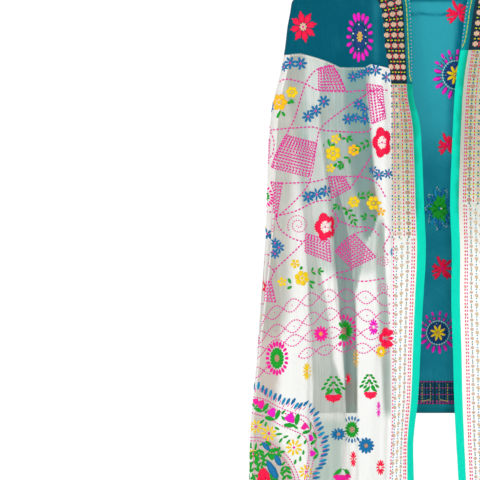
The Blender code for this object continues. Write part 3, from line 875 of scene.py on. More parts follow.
def satin_tape(name, colour, shade):
    """A ribbed edge tape with a soft shine. Painted light and shade set how much of its shade shows."""
    paint = Paint(name)
    across, down = paint.on_cut()
    ribs = paint.wave(down * (2 * math.pi / TAPE_PITCH))
    cloudy = paint.noise(paint.place(), TAPE_CLOUDS, 3.0)
    lit = paint.between(paint.spot("fullness") + (cloudy - 0.5) * 0.7 + ribs * 0.06, 0.0, 0.8)
    base = paint.mixed(lit, shade, colour)
    return paint.finish(
        base_color=base,
        roughness=0.46 + cloudy * 0.12,
        normal=paint.bump(ribs * 0.5 + paint.wave(across * 2600.0) * 0.2 + cloudy, 0.0003),
        specular_ior_level=0.12,
    )


def floss(name, colour, shade, shine=0.0):
    """Stranded silk: fine strands along each stitch, and a painted shade between them."""
    paint = Paint(name)
    strands = paint.wave(paint.spot("across") * (2 * math.pi / STRAND_PITCH))
    cloudy = paint.noise(paint.place(), FLOSS_CLOUDS)
    base = paint.mixed(paint.between(strands * 0.35 + cloudy, -0.1, 0.6), shade, colour)
    return paint.finish(
        base_color=base,
        roughness=0.42 + cloudy * 0.1,
        metallic=shine,
        normal=paint.bump(strands * 0.5 + cloudy, 0.00007),
        specular_ior_level=0.22,
    )


def pale_wood(name):
    paint = Paint(name)
    place = paint.node("ShaderNodeMapping", {}, {"Vector": paint.place(), "Scale": (9, 90, 70)})
    grain = paint.noise(place, 3.0, 6.0)
    rings = paint.wave(grain * 26.0)
    base = paint.mixed(paint.between(rings, -0.6, 1.0), ink(176, 128, 82), ink(214, 172, 122))
    return paint.finish(
        base_color=base,
        roughness=0.36 + grain * 0.14,
        coat_weight=0.25 + grain * 0.1,
        normal=paint.bump(rings * 0.4 + grain, 0.0002),
    )


def drawn_steel(name):
    paint = Paint(name)
    rubbed = paint.noise(paint.place(), 380.0, 4.0)
    return paint.finish(
        base_color=paint.mixed(rubbed, ink(176, 176, 180), ink(214, 214, 216)),
        metallic=1.0,
        roughness=0.18 + rubbed * 0.2,
        normal=paint.bump(rubbed, 0.00004),
    )


# ---- Pieces of cloth ------------------------------------------------------------------


# Blocks of quads of the wide cloth: first row, end of the rows, first column, end of the columns
MIDDLE_QUADS = ((0, PANEL_END, SEAM_COLUMN, None), (0, SEAM_ROW, 0, None))
END_QUADS = ((SEAM_ROW, PANEL_END, 0, SEAM_COLUMN),)
BACK_BORDER_QUADS = ((PANEL_END, TAPE_ROW, SEAM_COLUMN, None),)
END_BORDER_QUADS = ((PANEL_END, TAPE_ROW, INNER_CORNER, SEAM_COLUMN),)
BACK_TAPE_QUADS = ((TAPE_ROW, None, SEAM_COLUMN, None),)
END_TAPE_QUADS = ((TAPE_ROW, None, 0, SEAM_COLUMN),)

# Pieces of the wide cloth. A piece of the middle is one sheet with the cut width given; one
# without a width is made for each end.
WIDE_PIECES = (
    # name, quads, finish, slot, cut width, node
    ("teal_middle_panel", MIDDLE_QUADS, "teal", "teal_georgette", PANEL_CUT, "middle_panel"),
    ("cream_end_panel_", END_QUADS, "cream", "cream_georgette", None, "end_panel_"),
    ("teal_hem_border", BACK_BORDER_QUADS, "deep", "deep_brocade", BORDER, "border_lower_middle"),
    ("turquoise_hem_tape", BACK_TAPE_QUADS, "turquoise", "turquoise_tape", TAPE, "tape_lower_middle"),
    ("cream_hem_border_", END_BORDER_QUADS, "pale", "pale_brocade", None, "border_lower_"),
    ("mint_hem_tape_", END_TAPE_QUADS, "mint", "mint_tape", None, "tape_lower_"),
)

# Pieces of the upper band
UPPER_PIECES = (
    # name, columns, finish and slot of its teal stretch, then of its light ones, cut width
    ("border_", (TAPE_COLUMNS, None), "deep", "deep_brocade", "pale", "pale_brocade", BORDER),
    ("tape_", (0, TAPE_COLUMNS), "turquoise", "turquoise_tape", "mint", "mint_tape", TAPE),
)
BAND_TONE = 0.5  # each of CLOTH_NUMBERS on the band, where nothing else sets it
TAPE_SHADE = 0.9  # how much darker the tape grows from its edge inwards, above TAPE_SHADE_Z
TAPE_SHADE_Z = -0.56
TAPE_SHADE_FADE = 0.05
BORDER_SHADE_Z = -0.66  # below this the border has no painted shade, and above it more and more
BORDER_SHADE_FADE = 0.28


def in_blocks(grid, blocks):
    """Which quads of a grid lie in any of the blocks."""
    chosen = np.zeros((grid.shape[0] - 1, grid.shape[1] - 1), bool)
    for first_row, rows_end, first_column, columns_end in blocks:
        chosen[first_row:rows_end, first_column:columns_end] = True
    return chosen


def lay_piece(piece, nodes):
    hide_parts(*nodes)
    return piece


def lay_sheet(piece, slot, flat, nodes, held="draped", rests_on=("hanger_arms",)):
    lay_piece(piece, nodes)


def lay_wide_cloth(grids, fulls, finishes):
    """The panels, and the border and tape of the lower edge. The hem border and hem tape of
    the ends are modelled shorter than their cut, so they are declared with their panel."""

    def sheet(side, quads):
        return grids[side], fulls[side], in_blocks(grids[side], quads), side == "right"

    ends = {side: [] for side in grids}
    for name, quads, finish, slot, width, node in WIDE_PIECES:
        if width:
            piece = cloth_piece(name, [sheet(side, quads) for side in grids], finishes[finish])
            held = ("hung", ["teal_middle_panel"]) if node != "middle_panel" else ()
            lay_sheet(piece, slot, (width, MIDDLE_CUT), [node], *held)
        else:
            for side, pieces in ends.items():
                piece = cloth_piece(name + side, [sheet(side, quads)], finishes[finish])
                pieces.append(lay_piece(piece, [node + side]))


def band_numbers(band, side):
    """CLOTH_NUMBERS at each point of the upper band: painted shade on the tape near its
    top, and a painted shade that greys the border higher up.
    """
    tape = slice(TAPE_COLUMNS + 1)
    full = np.full((*band.shape[:2], len(CLOTH_NUMBERS)), BAND_TONE)
    inwards = np.linspace(0, 1, TAPE_COLUMNS + 1)
    shaded = inwards * eased((band[:, tape, 2] - TAPE_SHADE_Z) / TAPE_SHADE_FADE)
    full[:, tape, 0] = 1 - TAPE_SHADE * shaded
    if side == "right":
        front = slice(BAND_SEAM[side], None)
        levels, lit = np.array(TAPE_TOP_LIT).T
        full[front, tape, 0] *= np.interp(-band[front, tape, 2], levels, lit)
    full[..., 1] = eased((band[..., 2] - BORDER_SHADE_Z) / BORDER_SHADE_FADE)
    return full


def lay_upper_bands(bands, finishes):
    def sheet(side, columns, first_row, rows_end):
        chosen = in_blocks(bands[side], [(first_row, rows_end, *columns)])
        return bands[side], band_numbers(bands[side], side), chosen, side == "left"

    for name, columns, deep, deep_slot, light, light_slot, width in UPPER_PIECES:
        sheets = [sheet(side, columns, 0, BAND_SEAM[side]) for side in bands]
        middle = cloth_piece("neck_" + name + "middle", sheets, finishes[deep])
        lay_sheet(middle, deep_slot, (width, MIDDLE_CUT), [name + "upper_middle"])
        for side in bands:
            sheets = [sheet(side, columns, BAND_SEAM[side], None)]
            front = cloth_piece("front_" + name + side, sheets, finishes[light])
            lay_sheet(
                front,
                light_slot,
                (width, END_CUT),
                [name + "upper_" + side],
                "hung",
                ["cream_end_panel_" + side],
            )



# ---- Needlework -----------------------------------------------------------------------

# Rings of each stitch: share of its length, share of its width. A running stitch has four
# points a ring and a satin petal six; both are pointed at the ends.
RUNNING = (4, ((0.12, 1.0), (0.88, 1.0)), 0.40)
SATIN = (6, ((0.16, 0.62), (0.52, 1.0), (0.86, 0.72)), 0.24)
ROUND = (6, ((0.10, 0.80), (0.50, 1.0), (0.90, 0.80)), 0.34)
WOVEN = (6, ((0.12, 0.82), (0.88, 0.82)), 0.10)
SHAPES = {"running": RUNNING, "satin": SATIN, "round": ROUND, "woven": WOVEN}
CLEAR = 1.5 * MM  # from a stitch to the seams and edges of its cloth
OVERLAP = 2.6 * MM  # how far the petals reach over the border's inner edge
MOST_STITCHES = 9000  # in one piece
ARC_LEVELS = np.linspace(-0.20, -1.12, 47)
PROBE = 0.4  # millimetres either way, to find which way the cloth faces
TINY = 1e-9  # keeps a length of nothing from dividing


def facing_at(surface, first, second, way):
    """Which way a surface faces at each place. way is 1 or -1 and says which side is its face."""
    row = surface.point(first + PROBE, second) - surface.point(first - PROBE, second)
    column = surface.point(first, second + PROBE) - surface.point(first, second - PROBE)
    facing = np.cross(row, column) * way
    return facing / np.maximum(np.linalg.norm(facing, axis=-1, keepdims=True), TINY)


class Front:
    """Places on one half of the cloth: millimetres out from the centre front, on round the
    pleats and across the back to its middle, and millimetres down."""

    def __init__(self, half):
        self.half = half
        places = np.arange(len(AROUND))
        rows = []
        for z in ARC_LEVELS:
            x, y = side_point(places, np.full(len(places), z), half)
            rows.append(running_total(np.hypot(np.diff(x), np.diff(y))))
        self.arcs = np.array(rows)

    def point(self, across, down):
        across, down = np.broadcast_arrays(np.asarray(across, float), np.asarray(down, float))
        x, z = across * MM, -down * MM
        edge = side_x(z, AROUND[0], REACH[0])
        past = x - edge
        y = front_y(np.minimum(x, edge), z, self.half) * over_arm(np.minimum(x, edge), z)
        level = np.clip((ARC_LEVELS[0] - z) / (ARC_LEVELS[0] - ARC_LEVELS[1]), 0, len(ARC_LEVELS) - 1)
        low = np.minimum(level.astype(int), len(ARC_LEVELS) - 2)
        arcs = self.arcs[low] + (self.arcs[low + 1] - self.arcs[low]) * (level - low)[..., None]
        whole = arcs[..., -1]
        side = (past > 0) & (past < whole)
        back = past >= whole
        x, y = np.array(x), np.array(y)
        if side.any():
            reached = arcs[side]
            k = np.clip((reached <= past[side][:, None]).sum(axis=1) - 1, 0, len(AROUND) - 2)
            here = np.arange(len(k))
            before, after = reached[here, k], reached[here, k + 1]
            k = k + (past[side] - before) / np.maximum(after - before, TINY)
            x[side], y[side] = side_point(k, z[side], self.half)
        back_x = side_x(z, 1.0, REACH[-1]) - (past - whole)
        x = np.where(back, back_x, x)
        y = np.where(back, back_y(back_x, z) * over_arm(np.maximum(back_x, 0), z), y)
        return np.stack((x * self.half.sign, y, z), axis=-1)

    def facing(self, across, down):
        return facing_at(self, across, down, -self.half.sign)

    def holds(self, across, down):
        """Whether the cloth below the tapes and inside the borders reaches here."""
        x, z = across * MM, -down * MM
        inner = along(z, self.half.inner_column)
        edge = side_x(z, AROUND[0], REACH[0])
        whole = np.interp(-z, -ARC_LEVELS, self.arcs[:, -1])
        past = x - edge
        column = LAST_FRONT * np.clip((x - inner) / (edge - inner), 0, 1)
        column = column + np.clip(past / whole, 0, 1) * (FIRST_BACK - LAST_FRONT)
        share = np.clip((column - INNER_CORNER) / (SEAM_COLUMN - INNER_CORNER), 0, 1)
        low = FRONT_END_Z + (BACK_HEM_Z - FRONT_END_Z) * share + BORDER + TAPE * share
        side = side_x(z, 1.0, REACH[-1])
        before_seam = past < whole + side * (1 - SEAM_SHARE) - CLEAR
        return (x > inner - OVERLAP) & (z > low + 3 * CLEAR) & before_seam

    def side_start(self, down):
        """How far across the front ends and the pleats begin."""
        return float(side_x(np.array(-down * MM), AROUND[0], REACH[0])) / MM

    def round_to_back(self, down):
        """How far round the pleats end and the back begins."""
        level = int(np.argmin(abs(ARC_LEVELS + down * MM)))
        return self.side_start(down) + float(self.arcs[level, -1]) / MM


class Back:
    """Places on the back: millimetres from its middle, towards the shawl's left, and down."""

    def point(self, across, down):
        across, down = np.broadcast_arrays(np.asarray(across, float), np.asarray(down, float))
        x, z = across * MM, -down * MM
        return np.stack((x, back_y(abs(x), z) * over_arm(abs(x), z), z), axis=-1)

    def facing(self, across, down):
        return facing_at(self, across, down, -1)

    def holds(self, across, down):
        side = side_x(-down * MM, 1.0, REACH[-1])
        inside = abs(across) * MM < side * SEAM_SHARE - CLEAR
        return inside & (-down * MM > BACK_HEM_Z + BORDER + TAPE + CLEAR)


class Strip:
    """Places on a band of cloth: millimetres along it, and across it from its free edge."""

    def __init__(self, grid):
        self.grid = grid
        middle = grid[:, grid.shape[1] // 2]
        steps = np.linalg.norm(np.diff(middle, axis=0), axis=1)
        self.length = running_total(steps) / MM
        widths = np.linalg.norm(np.diff(grid, axis=1), axis=2).mean(axis=0)
        self.width = running_total(widths) / MM

    def point(self, along_it, across_it):
        row = np.interp(along_it, self.length, np.arange(len(self.length)))
        column = np.interp(across_it, self.width, np.arange(len(self.width)))
        i = np.minimum(row.astype(int), self.grid.shape[0] - 2)
        j = np.minimum(column.astype(int), self.grid.shape[1] - 2)
        s, t = (row - i)[..., None], (column - j)[..., None]
        upper = self.grid[i, j] * (1 - t) + self.grid[i, j + 1] * t
        lower = self.grid[i + 1, j] * (1 - t) + self.grid[i + 1, j + 1] * t
        return upper * (1 - s) + lower * s

    def holds(self, along_it, across_it):
        return (along_it > 0) & (along_it < self.length[-1]) & (across_it < self.width[-1])

    def facing(self, along_it, across_it):
        return facing_at(self, along_it, across_it, 1)


class Needle:
    """Lays stitches of any floss on one surface. Sizes are millimetres."""

    laid = {}

    def __init__(self, surface):
        self.surface = surface
        self.limits = (-math.inf, math.inf)

    def between(self, low, high):
        """A needle for the same surface that leaves out what a fold hides."""
        other = Needle(self.surface)
        other.limits = (low, high)
        return other

    def stitch(self, floss, start, end, width, shape="running"):
        middle = (start[0] + end[0]) / 2
        if self.limits[0] <= middle <= self.limits[1]:
            row = (self.surface, *start, *end, width)
            Needle.laid.setdefault((floss, shape), []).append(row)

    def running(self, floss, path, width, stitch, gap, curved=True):
        """Running stitches along a path."""
        line = smooth_line(path) if curved else np.array(path, float)
        lengths = running_total(np.hypot(*np.diff(line, axis=0).T))
        count = max(int(lengths[-1] / (stitch + gap)), 1)
        pitch = lengths[-1] / count
        begin = np.arange(count) * pitch
        end = begin + pitch * stitch / (stitch + gap)
        ends = [np.stack([np.interp(d, lengths, side) for side in line.T], axis=1) for d in (begin, end)]
        for a, b in zip(*ends):
            self.stitch(floss, tuple(a), tuple(b), width)


def smooth_line(path):
    """A smooth line through the points of a path."""
    points = np.array(path, float)
    if len(points) < 3:
        return points
    padded = np.concatenate((2 * points[:1] - points[1:2], points, 2 * points[-1:] - points[-2:-1]))
    t = np.linspace(0, 1, 9)[:-1, None]
    parts = []
    for a, b, c, d in zip(padded, padded[1:], padded[2:], padded[3:]):
        parts.append(
            0.5 * (2 * b + (c - a) * t + (2 * a - 5 * b + 4 * c - d) * t**2 + (3 * b - a - 3 * c + d) * t**3)
        )
    return np.concatenate((*parts, points[-1:]))


def stitch_points(rows, shape):
    """Points of many stitches of one shape, and how far each lies across its stitch."""
    ring_size, rings, rise = SHAPES[shape]
    points, across = [], []
    by_surface = {}
    for surface, *numbers in rows:
        by_surface.setdefault(id(surface), (surface, []))[1].append(numbers)
    for surface, numbers in by_surface.values():
        numbers = np.array(numbers, float)
        kept = surface.holds(*numbers[:, 0:2].T) & surface.holds(*numbers[:, 2:4].T)
        u0, v0, u1, v1, width = numbers[kept].T
        facing = surface.facing((u0 + u1) / 2, (v0 + v1) / 2)
        start, end = surface.point(u0, v0), surface.point(u1, v1)
        middle = surface.point((u0 + u1) / 2, (v0 + v1) / 2)
        run = end - start
        length = np.linalg.norm(run, axis=1, keepdims=True)
        side = np.cross(facing, run / np.maximum(length, TINY))
        side /= np.maximum(np.linalg.norm(side, axis=1, keepdims=True), TINY)
        half = width[:, None] * MM / 2

        def centre(t):
            return start * (1 - t) * (1 - 2 * t) + middle * 4 * t * (1 - t) + end * t * (2 * t - 1)

        made, over = [start], [half * 0]
        for t, share in rings:
            for angle in np.arange(ring_size) / ring_size * 2 * math.pi:
                out = half * share * math.cos(angle)
                up = half * 2 * rise * share * math.sin(angle)
                made.append(centre(t) + side * out + facing * up)
                over.append(out)
        made.append(end)
        over.append(half * 0)
        points.append(np.stack(made, axis=1))
        across.append(np.stack(over, axis=1)[..., 0])
    return np.concatenate(points), np.concatenate(across)


def stitch_faces(shape):
    """Faces of one stitch: fans at both ends and quads between its rings."""
    ring_size, rings, _ = SHAPES[shape]
    last = 1 + ring_size * len(rings)
    tail = last - ring_size
    faces = []
    for k in range(ring_size):
        after = (k + 1) % ring_size
        faces.append((1 + after, 1 + k, 0, 0))
        for ring in range(len(rings) - 1):
            a, b = 1 + ring * ring_size, 1 + (ring + 1) * ring_size
            faces.append((a + k, a + after, b + after, b + k))
        faces.append((tail + k, tail + after, last, last))
    return np.array(faces)


def sew_all(flosses):
    """One piece for each floss and shape of stitch, or more where it has very many."""
    for (name, shape), rows in sorted(Needle.laid.items()):
        parts = 1 + len(rows) // MOST_STITCHES
        for part in range(parts):
            points, across = stitch_points(rows[part::parts], shape)
            count, each = points.shape[:2]
            faces = stitch_faces(shape)[None] + (np.arange(count) * each)[:, None, None]
            new_piece(
                f"{name}_{shape}_stitches" + (f"_{part + 1}" if parts > 1 else ""),
                points.reshape(-1, 3),
                faces.reshape(-1, 4),
                flosses[name],
                places={"across": across.ravel()},
            )


# ---- Motifs ---------------------------------------------------------------------------


def polar(centre, radius, angle, squash=(1.0, 1.0)):
    return (
        centre[0] + radius * squash[0] * math.cos(angle),
        centre[1] + radius * squash[1] * math.sin(angle),
    )


def spoke(needle, floss, centre, near, far, width, squash=(1.0, 1.0), shape="satin"):
    """A stitch outwards from a centre. near and far are each a radius and an angle."""
    needle.stitch(floss, polar(centre, *near, squash), polar(centre, *far, squash), width, shape)


def knot(needle, floss, centre, size):
    """A small raised dot of a few crossed stitches."""
    for angle in (0.3, 1.9):
        out, below = polar((0, 0), size / 2, angle)
        start, end = (centre[0] - out, centre[1] - below), (centre[0] + out, centre[1] + below)
        needle.stitch(floss, start, end, size * 0.8, "round")


def rays(needle, floss, centre, inner, outer, count, width, squash=(1.0, 1.0), turn=0.0, shape="satin"):
    """Straight stitches round a centre."""
    for k in range(count):
        angle = turn + k * 2 * math.pi / count
        spoke(needle, floss, centre, (inner, angle), (outer, angle), width, squash, shape)


def little_flower(needle, centre, radius, turn):
    """Seven narrow petals round a dot."""
    rays(needle, "blue", centre, radius * 0.12, radius * 1.04, 7, radius * 0.44, turn=turn)
    knot(needle, "rose", centre, radius * 0.34)


# Stitches of one petal: how far aside they point, how far they reach, width
ROUND_PETAL = ((-0.30, 0.92, 0.30), (0.0, 1.0, 0.40), (0.30, 0.92, 0.30))


def round_flower(needle, centre, radius, turn, petal="yellow"):
    """Five or six round petals of close satin stitches."""
    count = 6 if radius > 9 else 5
    for k in range(count):
        angle = turn + k * 2 * math.pi / count
        for aside, reach, width in ROUND_PETAL:
            near, far = (radius * 0.26, angle + aside * 0.7), (radius * reach, angle + aside)
            spoke(needle, petal, centre, near, far, radius * width)
    knot(needle, petal, centre, radius * 0.46)
    knot(needle, "rose", centre, radius * 0.26)


def leaf(needle, start, end, width):
    needle.stitch("green", start, end, width, "satin")


def leaf_spray(needle, stem, pairs, length):
    """Pairs of leaves along a stem, with one at its tip."""
    line = smooth_line(stem)
    needle.running("rose", stem, 0.9, 2.0, 0.8)

    def leaf_from(root, heading):
        leaf(needle, tuple(root), polar(root, length * 1.38, heading), length * 0.64)

    for share in np.linspace(0.25, 0.9, pairs):
        k = min(int(share * (len(line) - 1)), len(line) - 2)
        heading = math.atan2(*(line[k + 1] - line[k])[::-1])
        for side in (-1, 1):
            leaf_from(line[k], heading + side * 0.85)
    leaf_from(line[-1], math.atan2(*(line[-1] - line[-2])[::-1]))


def poppy(needle, centre, width, height, heart="cream", heart_reach=0.52):
    """A big flower: five broad petals of satin stitches round a pale heart."""
    squash = (width / 2, height / 2)
    for k in range(5):
        middle = -math.pi / 2 + k * 2 * math.pi / 5 + 0.3
        for share in np.linspace(-1, 1, 7):
            angle = middle + share * 0.55
            near, far = (heart_reach - 0.14, angle), (1.05 - 0.24 * share**2, angle)
            spoke(needle, "red", centre, near, far, height * 0.115, squash)
        edge = middle + math.pi / 5
        spoke(needle, "hot_pink", centre, (0.34, edge), (0.84, edge), height * 0.045, squash)
    for k in range(14):
        angle = k * math.pi / 7
        reach = heart_reach - 0.04 + 0.08 * math.sin(k * 2.6)
        spoke(needle, heart, centre, (0.06, angle), (reach, angle), height * 0.062, squash)
    rays(needle, "hot_pink", centre, 0.10, 0.40, 5, height * 0.055, squash, 0.4)
    knot(needle, "rose", centre, height * 0.06)


def sun_flower(needle, centre, width, height, ray="hot_pink"):
    """Rays round a filled core with a heart."""
    squash = (width / 2, height / 2)
    rays(needle, ray, centre, 0.64, 1.0, 20, height * 0.090, squash)
    rays(needle, "green", centre, 0.22, 0.62, 16, height * 0.105, squash, 0.2)
    rays(needle, "green", centre, 0.16, 0.50, 12, height * 0.085, squash)
    rays(needle, "copper", centre, 0.02, 0.24, 7, height * 0.075, squash, 0.1)


def daisy(needle, centre, width, height, ray="blue", heart="copper"):
    """Straight petals from a small heart."""
    squash = (width / 2, height / 2)
    rays(needle, ray, centre, 0.18, 1.0, 12, min(width, height) * 0.20, squash)
    rays(needle, heart, centre, 0.02, 0.26, 6, min(width, height) * 0.12, squash)


def tulip(needle, cup, width, height, petal="red"):
    """A lobed cup of satin stitches that hangs under two broad leaves."""
    for share in np.linspace(-1, 1, 9):
        low = 0.34 - 0.36 * share**2 + 0.05 * math.cos(3 * math.pi * share)
        foot = (cup[0] + share * width * 0.24, cup[1] - height * 0.34)
        tip = (cup[0] + share * width * 0.5, cup[1] + height * low)
        needle.stitch(petal, foot, tip, width * 0.21, "satin")
    for share in (-1, -0.62, 0.62, 1):
        foot = (cup[0] + share * width * 0.04, cup[1] - height * 0.86)
        tip = (cup[0] + share * width * 0.5, cup[1] - height * (0.50 - 0.22 * abs(share)))
        leaf(needle, foot, tip, width * 0.19)


# Branches on each side of a stalk: reach, height of the top, drop to the tips, leaves
FEATHER_BRANCHES = ((0.50, 0.90, 0.68, 4), (0.29, 0.60, 0.42, 3))


def feather(needle, foot, width, height):
    """A stalk with two drooping branches of leaves on each side."""
    needle.running("rose", [foot, (foot[0], foot[1] - height)], 1.1, 2.2, 0.8)
    for reach, top, drop, count in FEATHER_BRANCHES:
        for share in np.linspace(0.1, 1.0, count):
            for side in (-1, 1):
                out = width * reach * (0.28 + 0.72 * share)
                tip = (foot[0] + side * out, foot[1] - height * (top - drop * share**1.4))
                root = (tip[0] - side * (out * 0.2 + 4.2), tip[1] - 1.0 - 4.4 * share)
                leaf(needle, root, tip, 4.4)


LATTICE_PITCH = 4.9
LATTICE_THREAD = 2.1


def lattice(needle, corners):
    """A field of crossing running stitches inside four corners, with an edge line."""
    a, b, c, d = (np.array(corner, float) for corner in corners)
    stitch, gap = LATTICE_PITCH * 0.70, LATTICE_PITCH * 0.30
    for first, last, far_last, far_first in ((a, b, c, d), (b, c, d, a)):
        span = (np.linalg.norm(last - first) + np.linalg.norm(far_last - far_first)) / 2
        count = max(int(round(span / LATTICE_PITCH)), 2)
        for k in range(1, count):
            start = first + (last - first) * k / count
            end = far_first + (far_last - far_first) * k / count
            needle.running("rose", [start, end], LATTICE_THREAD, stitch, gap, curved=False)
    for start, end in ((a, b), (b, c), (c, d), (d, a)):
        needle.running("rose", [start, end], LATTICE_THREAD * 1.15, 3.0, 0.9, curved=False)


def eye_band(needle, middle, length, swell):
    """Two running lines that cross to make a row of eyes, each with a dot."""
    line = smooth_line(middle)
    steps = running_total(np.hypot(*np.diff(line, axis=0).T))
    places = np.arange(0, steps[-1], 1.6)
    x, y = (np.interp(places, steps, side) for side in line.T)
    lift = swell * np.sin(math.pi * places / length)
    for side in (-1, 1):
        needle.running("rose", np.stack((x, y + side * lift), axis=1), 2.0, 3.1, 1.2, curved=False)
    for k in range(int(steps[-1] / length)):
        eye = tuple(np.interp((k + 0.5) * length, steps, side) for side in line.T)
        knot(needle, "rose", eye, 2.0)


SPIRAL_TURNS = 2.1


def spiral(needle, centre, radius):
    angles = np.linspace(0, SPIRAL_TURNS * 2 * math.pi, 34)
    path = [polar(centre, radius * (0.12 + 0.88 * a / angles[-1]), a) for a in angles]
    needle.running("rose", path, 1.6, 2.8, 1.4)


def star_flower(needle, centre, width, height):
    """Eight long petals of close satin stitches round a pale heart."""
    squash = (width / 2, height / 2)
    for k in range(8):
        angle = k * math.pi / 4 + 0.2
        for aside, reach in ((-0.17, 0.80), (0.0, 1.0), (0.17, 0.80)):
            near, far = (0.22, angle + aside * 0.7), (reach, angle + aside)
            spoke(needle, "red", centre, near, far, height * 0.105, squash)
    rays(needle, "blush", centre, 0.04, 0.27, 8, height * 0.07, squash, 0.1)
    knot(needle, "rose", centre, height * 0.07)


def mandala(needle, centre, width, height, inner="yellow", ringed=True):
    """A wheel: long rays, and a dark eye with a star in its middle, ringed with white or set
    with sequins."""
    squash = (width / 2, height / 2)
    for k in range(17):
        angle = k * 2 * math.pi / 17
        inmost = 0.60 + 0.03 * math.sin(k * 2.7)
        turned = angle + 0.05 * math.sin(k * 3.1)
        if ringed and math.sin(angle - 0.35) < 0.15:
            parts, broad = ((inmost, 0.73), (0.79, 1.02)), 0.062
        else:
            parts, broad = ((inmost, 0.97 + 0.03 * math.sin(k * 1.9)),), 0.078
        for near, far in parts:
            spoke(needle, "magenta", centre, (near, angle), (far, turned), height * broad, squash)
    rays(needle, "plum", centre, 0.56, 0.84, 34, height * 0.020, squash, 0.09, "running")
    rays(needle, "navy", centre, 0.14, 0.54, 26, height * 0.06, squash, 0.1)
    if ringed:
        ring = [polar(centre, 0.55, k * 2 * math.pi / 28, squash) for k in range(29)]
        needle.running("silver", ring, 1.5, 3.4, 0.7)
    sequins, reach, size = (9, 0.40, 2.2) if ringed else (11, 0.47, 3.6)
    for k in range(sequins):
        angle = (k + 0.5) * 2 * math.pi / sequins
        knot(needle, "silver", polar(centre, reach * (1 - 0.16 * (k % 2)), angle, squash), size)
    star = 0.42 if ringed else 0.26
    rays(needle, inner, centre, 0.05, star, 8, height * 0.080 * star / 0.42, squash, 0.3)
    knot(needle, "zari", centre, height * 0.08)


def spider_star(needle, centre, width, height):
    """Narrow arms of uneven length that fork at their tips."""
    squash = (width / 2, height / 2)
    for k in range(9):
        angle = k * 2 * math.pi / 9 + 0.15 * math.sin(k * 2.3)
        reach = 0.86 + 0.16 * math.sin(k * 2.4)
        spoke(needle, "red", centre, (0.03, angle), (reach, angle), height * 0.135, squash)
        if k % 2:
            near, far = (0.45, angle), (reach * 0.9, angle + 0.34)
            spoke(needle, "red", centre, near, far, height * 0.095, squash)
    knot(needle, "rose", centre, height * 0.09)


# Leaves at each tip of a burst: how far aside they point, from, to, width
BURST_LEAVES = ((0, 0.06, 1.0, 0.12), (-0.3, 0.28, 0.85, 0.07), (0.3, 0.28, 0.85, 0.07))


def burst(needle, centre, width, height):
    """Spiky leaves over blue rays, with white running stitches in and out round the tips."""
    squash = (width / 2, height / 2)
    for k in range(18):
        angle = 0.1 + k * math.pi / 9
        near, far = (0.35, angle), (1.0 - 0.2 * (k % 2), angle + 0.05)
        spoke(needle, "blue" if k % 3 else "sky", centre, near, far, height * 0.085, squash)
    for k in range(9):
        angle = 0.35 + k * 2 * math.pi / 9
        reach = 0.66 + 0.13 * math.sin(k * 2.1)
        for aside, near, far, broad in BURST_LEAVES:
            ends = (near, angle), (reach * far, angle + aside)
            spoke(needle, "green", centre, *ends, height * broad, squash)
    tips = [polar(centre, (0.66, 1.0)[k % 2], k * math.pi / 9, squash) for k in range(19)]
    needle.running("silver", tips, 1.2, 2.4, 1.7, curved=False)
    knot(needle, "silver", (centre[0] + 3, centre[1]), 4.2)


# ---- Where each motif lies, (across, down) in millimetres -------------------------------

BLUE_FLOWERS = (
    # centre, radius
    ((246, 287), 8), ((235, 281), 9.9), ((218, 282), 10.2),
    ((134, 303), 8.6), ((121, 299), 8), ((110, 294), 7.7),
    ((98, 293), 9.6), ((80, 304), 9),
    ((206, 367), 9.6), ((194, 358), 9.6), ((181, 343), 9.9),
    ((125, 347), 9), ((115, 355), 8), ((142, 371), 9.3),
    ((130, 369), 8), ((115, 371), 9.6),
    ((102, 453), 7), ((93, 461), 9), ((78, 459), 8),
    ((206, 496), 9.6), ((192, 492), 9.9), ((178, 487), 9.6),
    ((259, 570), 8.3), ((253, 577), 9), ((259, 587), 8),
)
YELLOW_FLOWERS = (
    ((253, 344), 13.8), ((232, 328), 9.6),
    ((162, 403), 8), ((166, 426), 12.8), ((133, 421), 9.6), ((170, 450), 7.4),
    ((133, 504), 9.6), ((101, 506), 11.8), ((90, 520), 7),
    ((216, 626), 12.2), ((227, 603), 7.7), ((248, 632), 7.7),
    ((280, 602), 6.4),
)
LATTICES = (
    # four corners
    ((189, 290), (166, 285), (146, 325), (189, 325)),
    ((112, 315), (88, 319), (82, 370), (104, 379)),
    ((242, 397), (192, 410), (205, 464), (269, 448)),
    ((174, 464), (149, 463), (138, 482), (168, 498)),
    ((274, 472), (248, 474), (256, 525), (272, 511)),
    ((210, 555), (173, 565), (170, 600), (211, 584)),
    ((163, 583), (131, 557), (98, 592), (136, 610)),
    ((285, 632), (266, 631), (258, 664), (288, 661)),
)
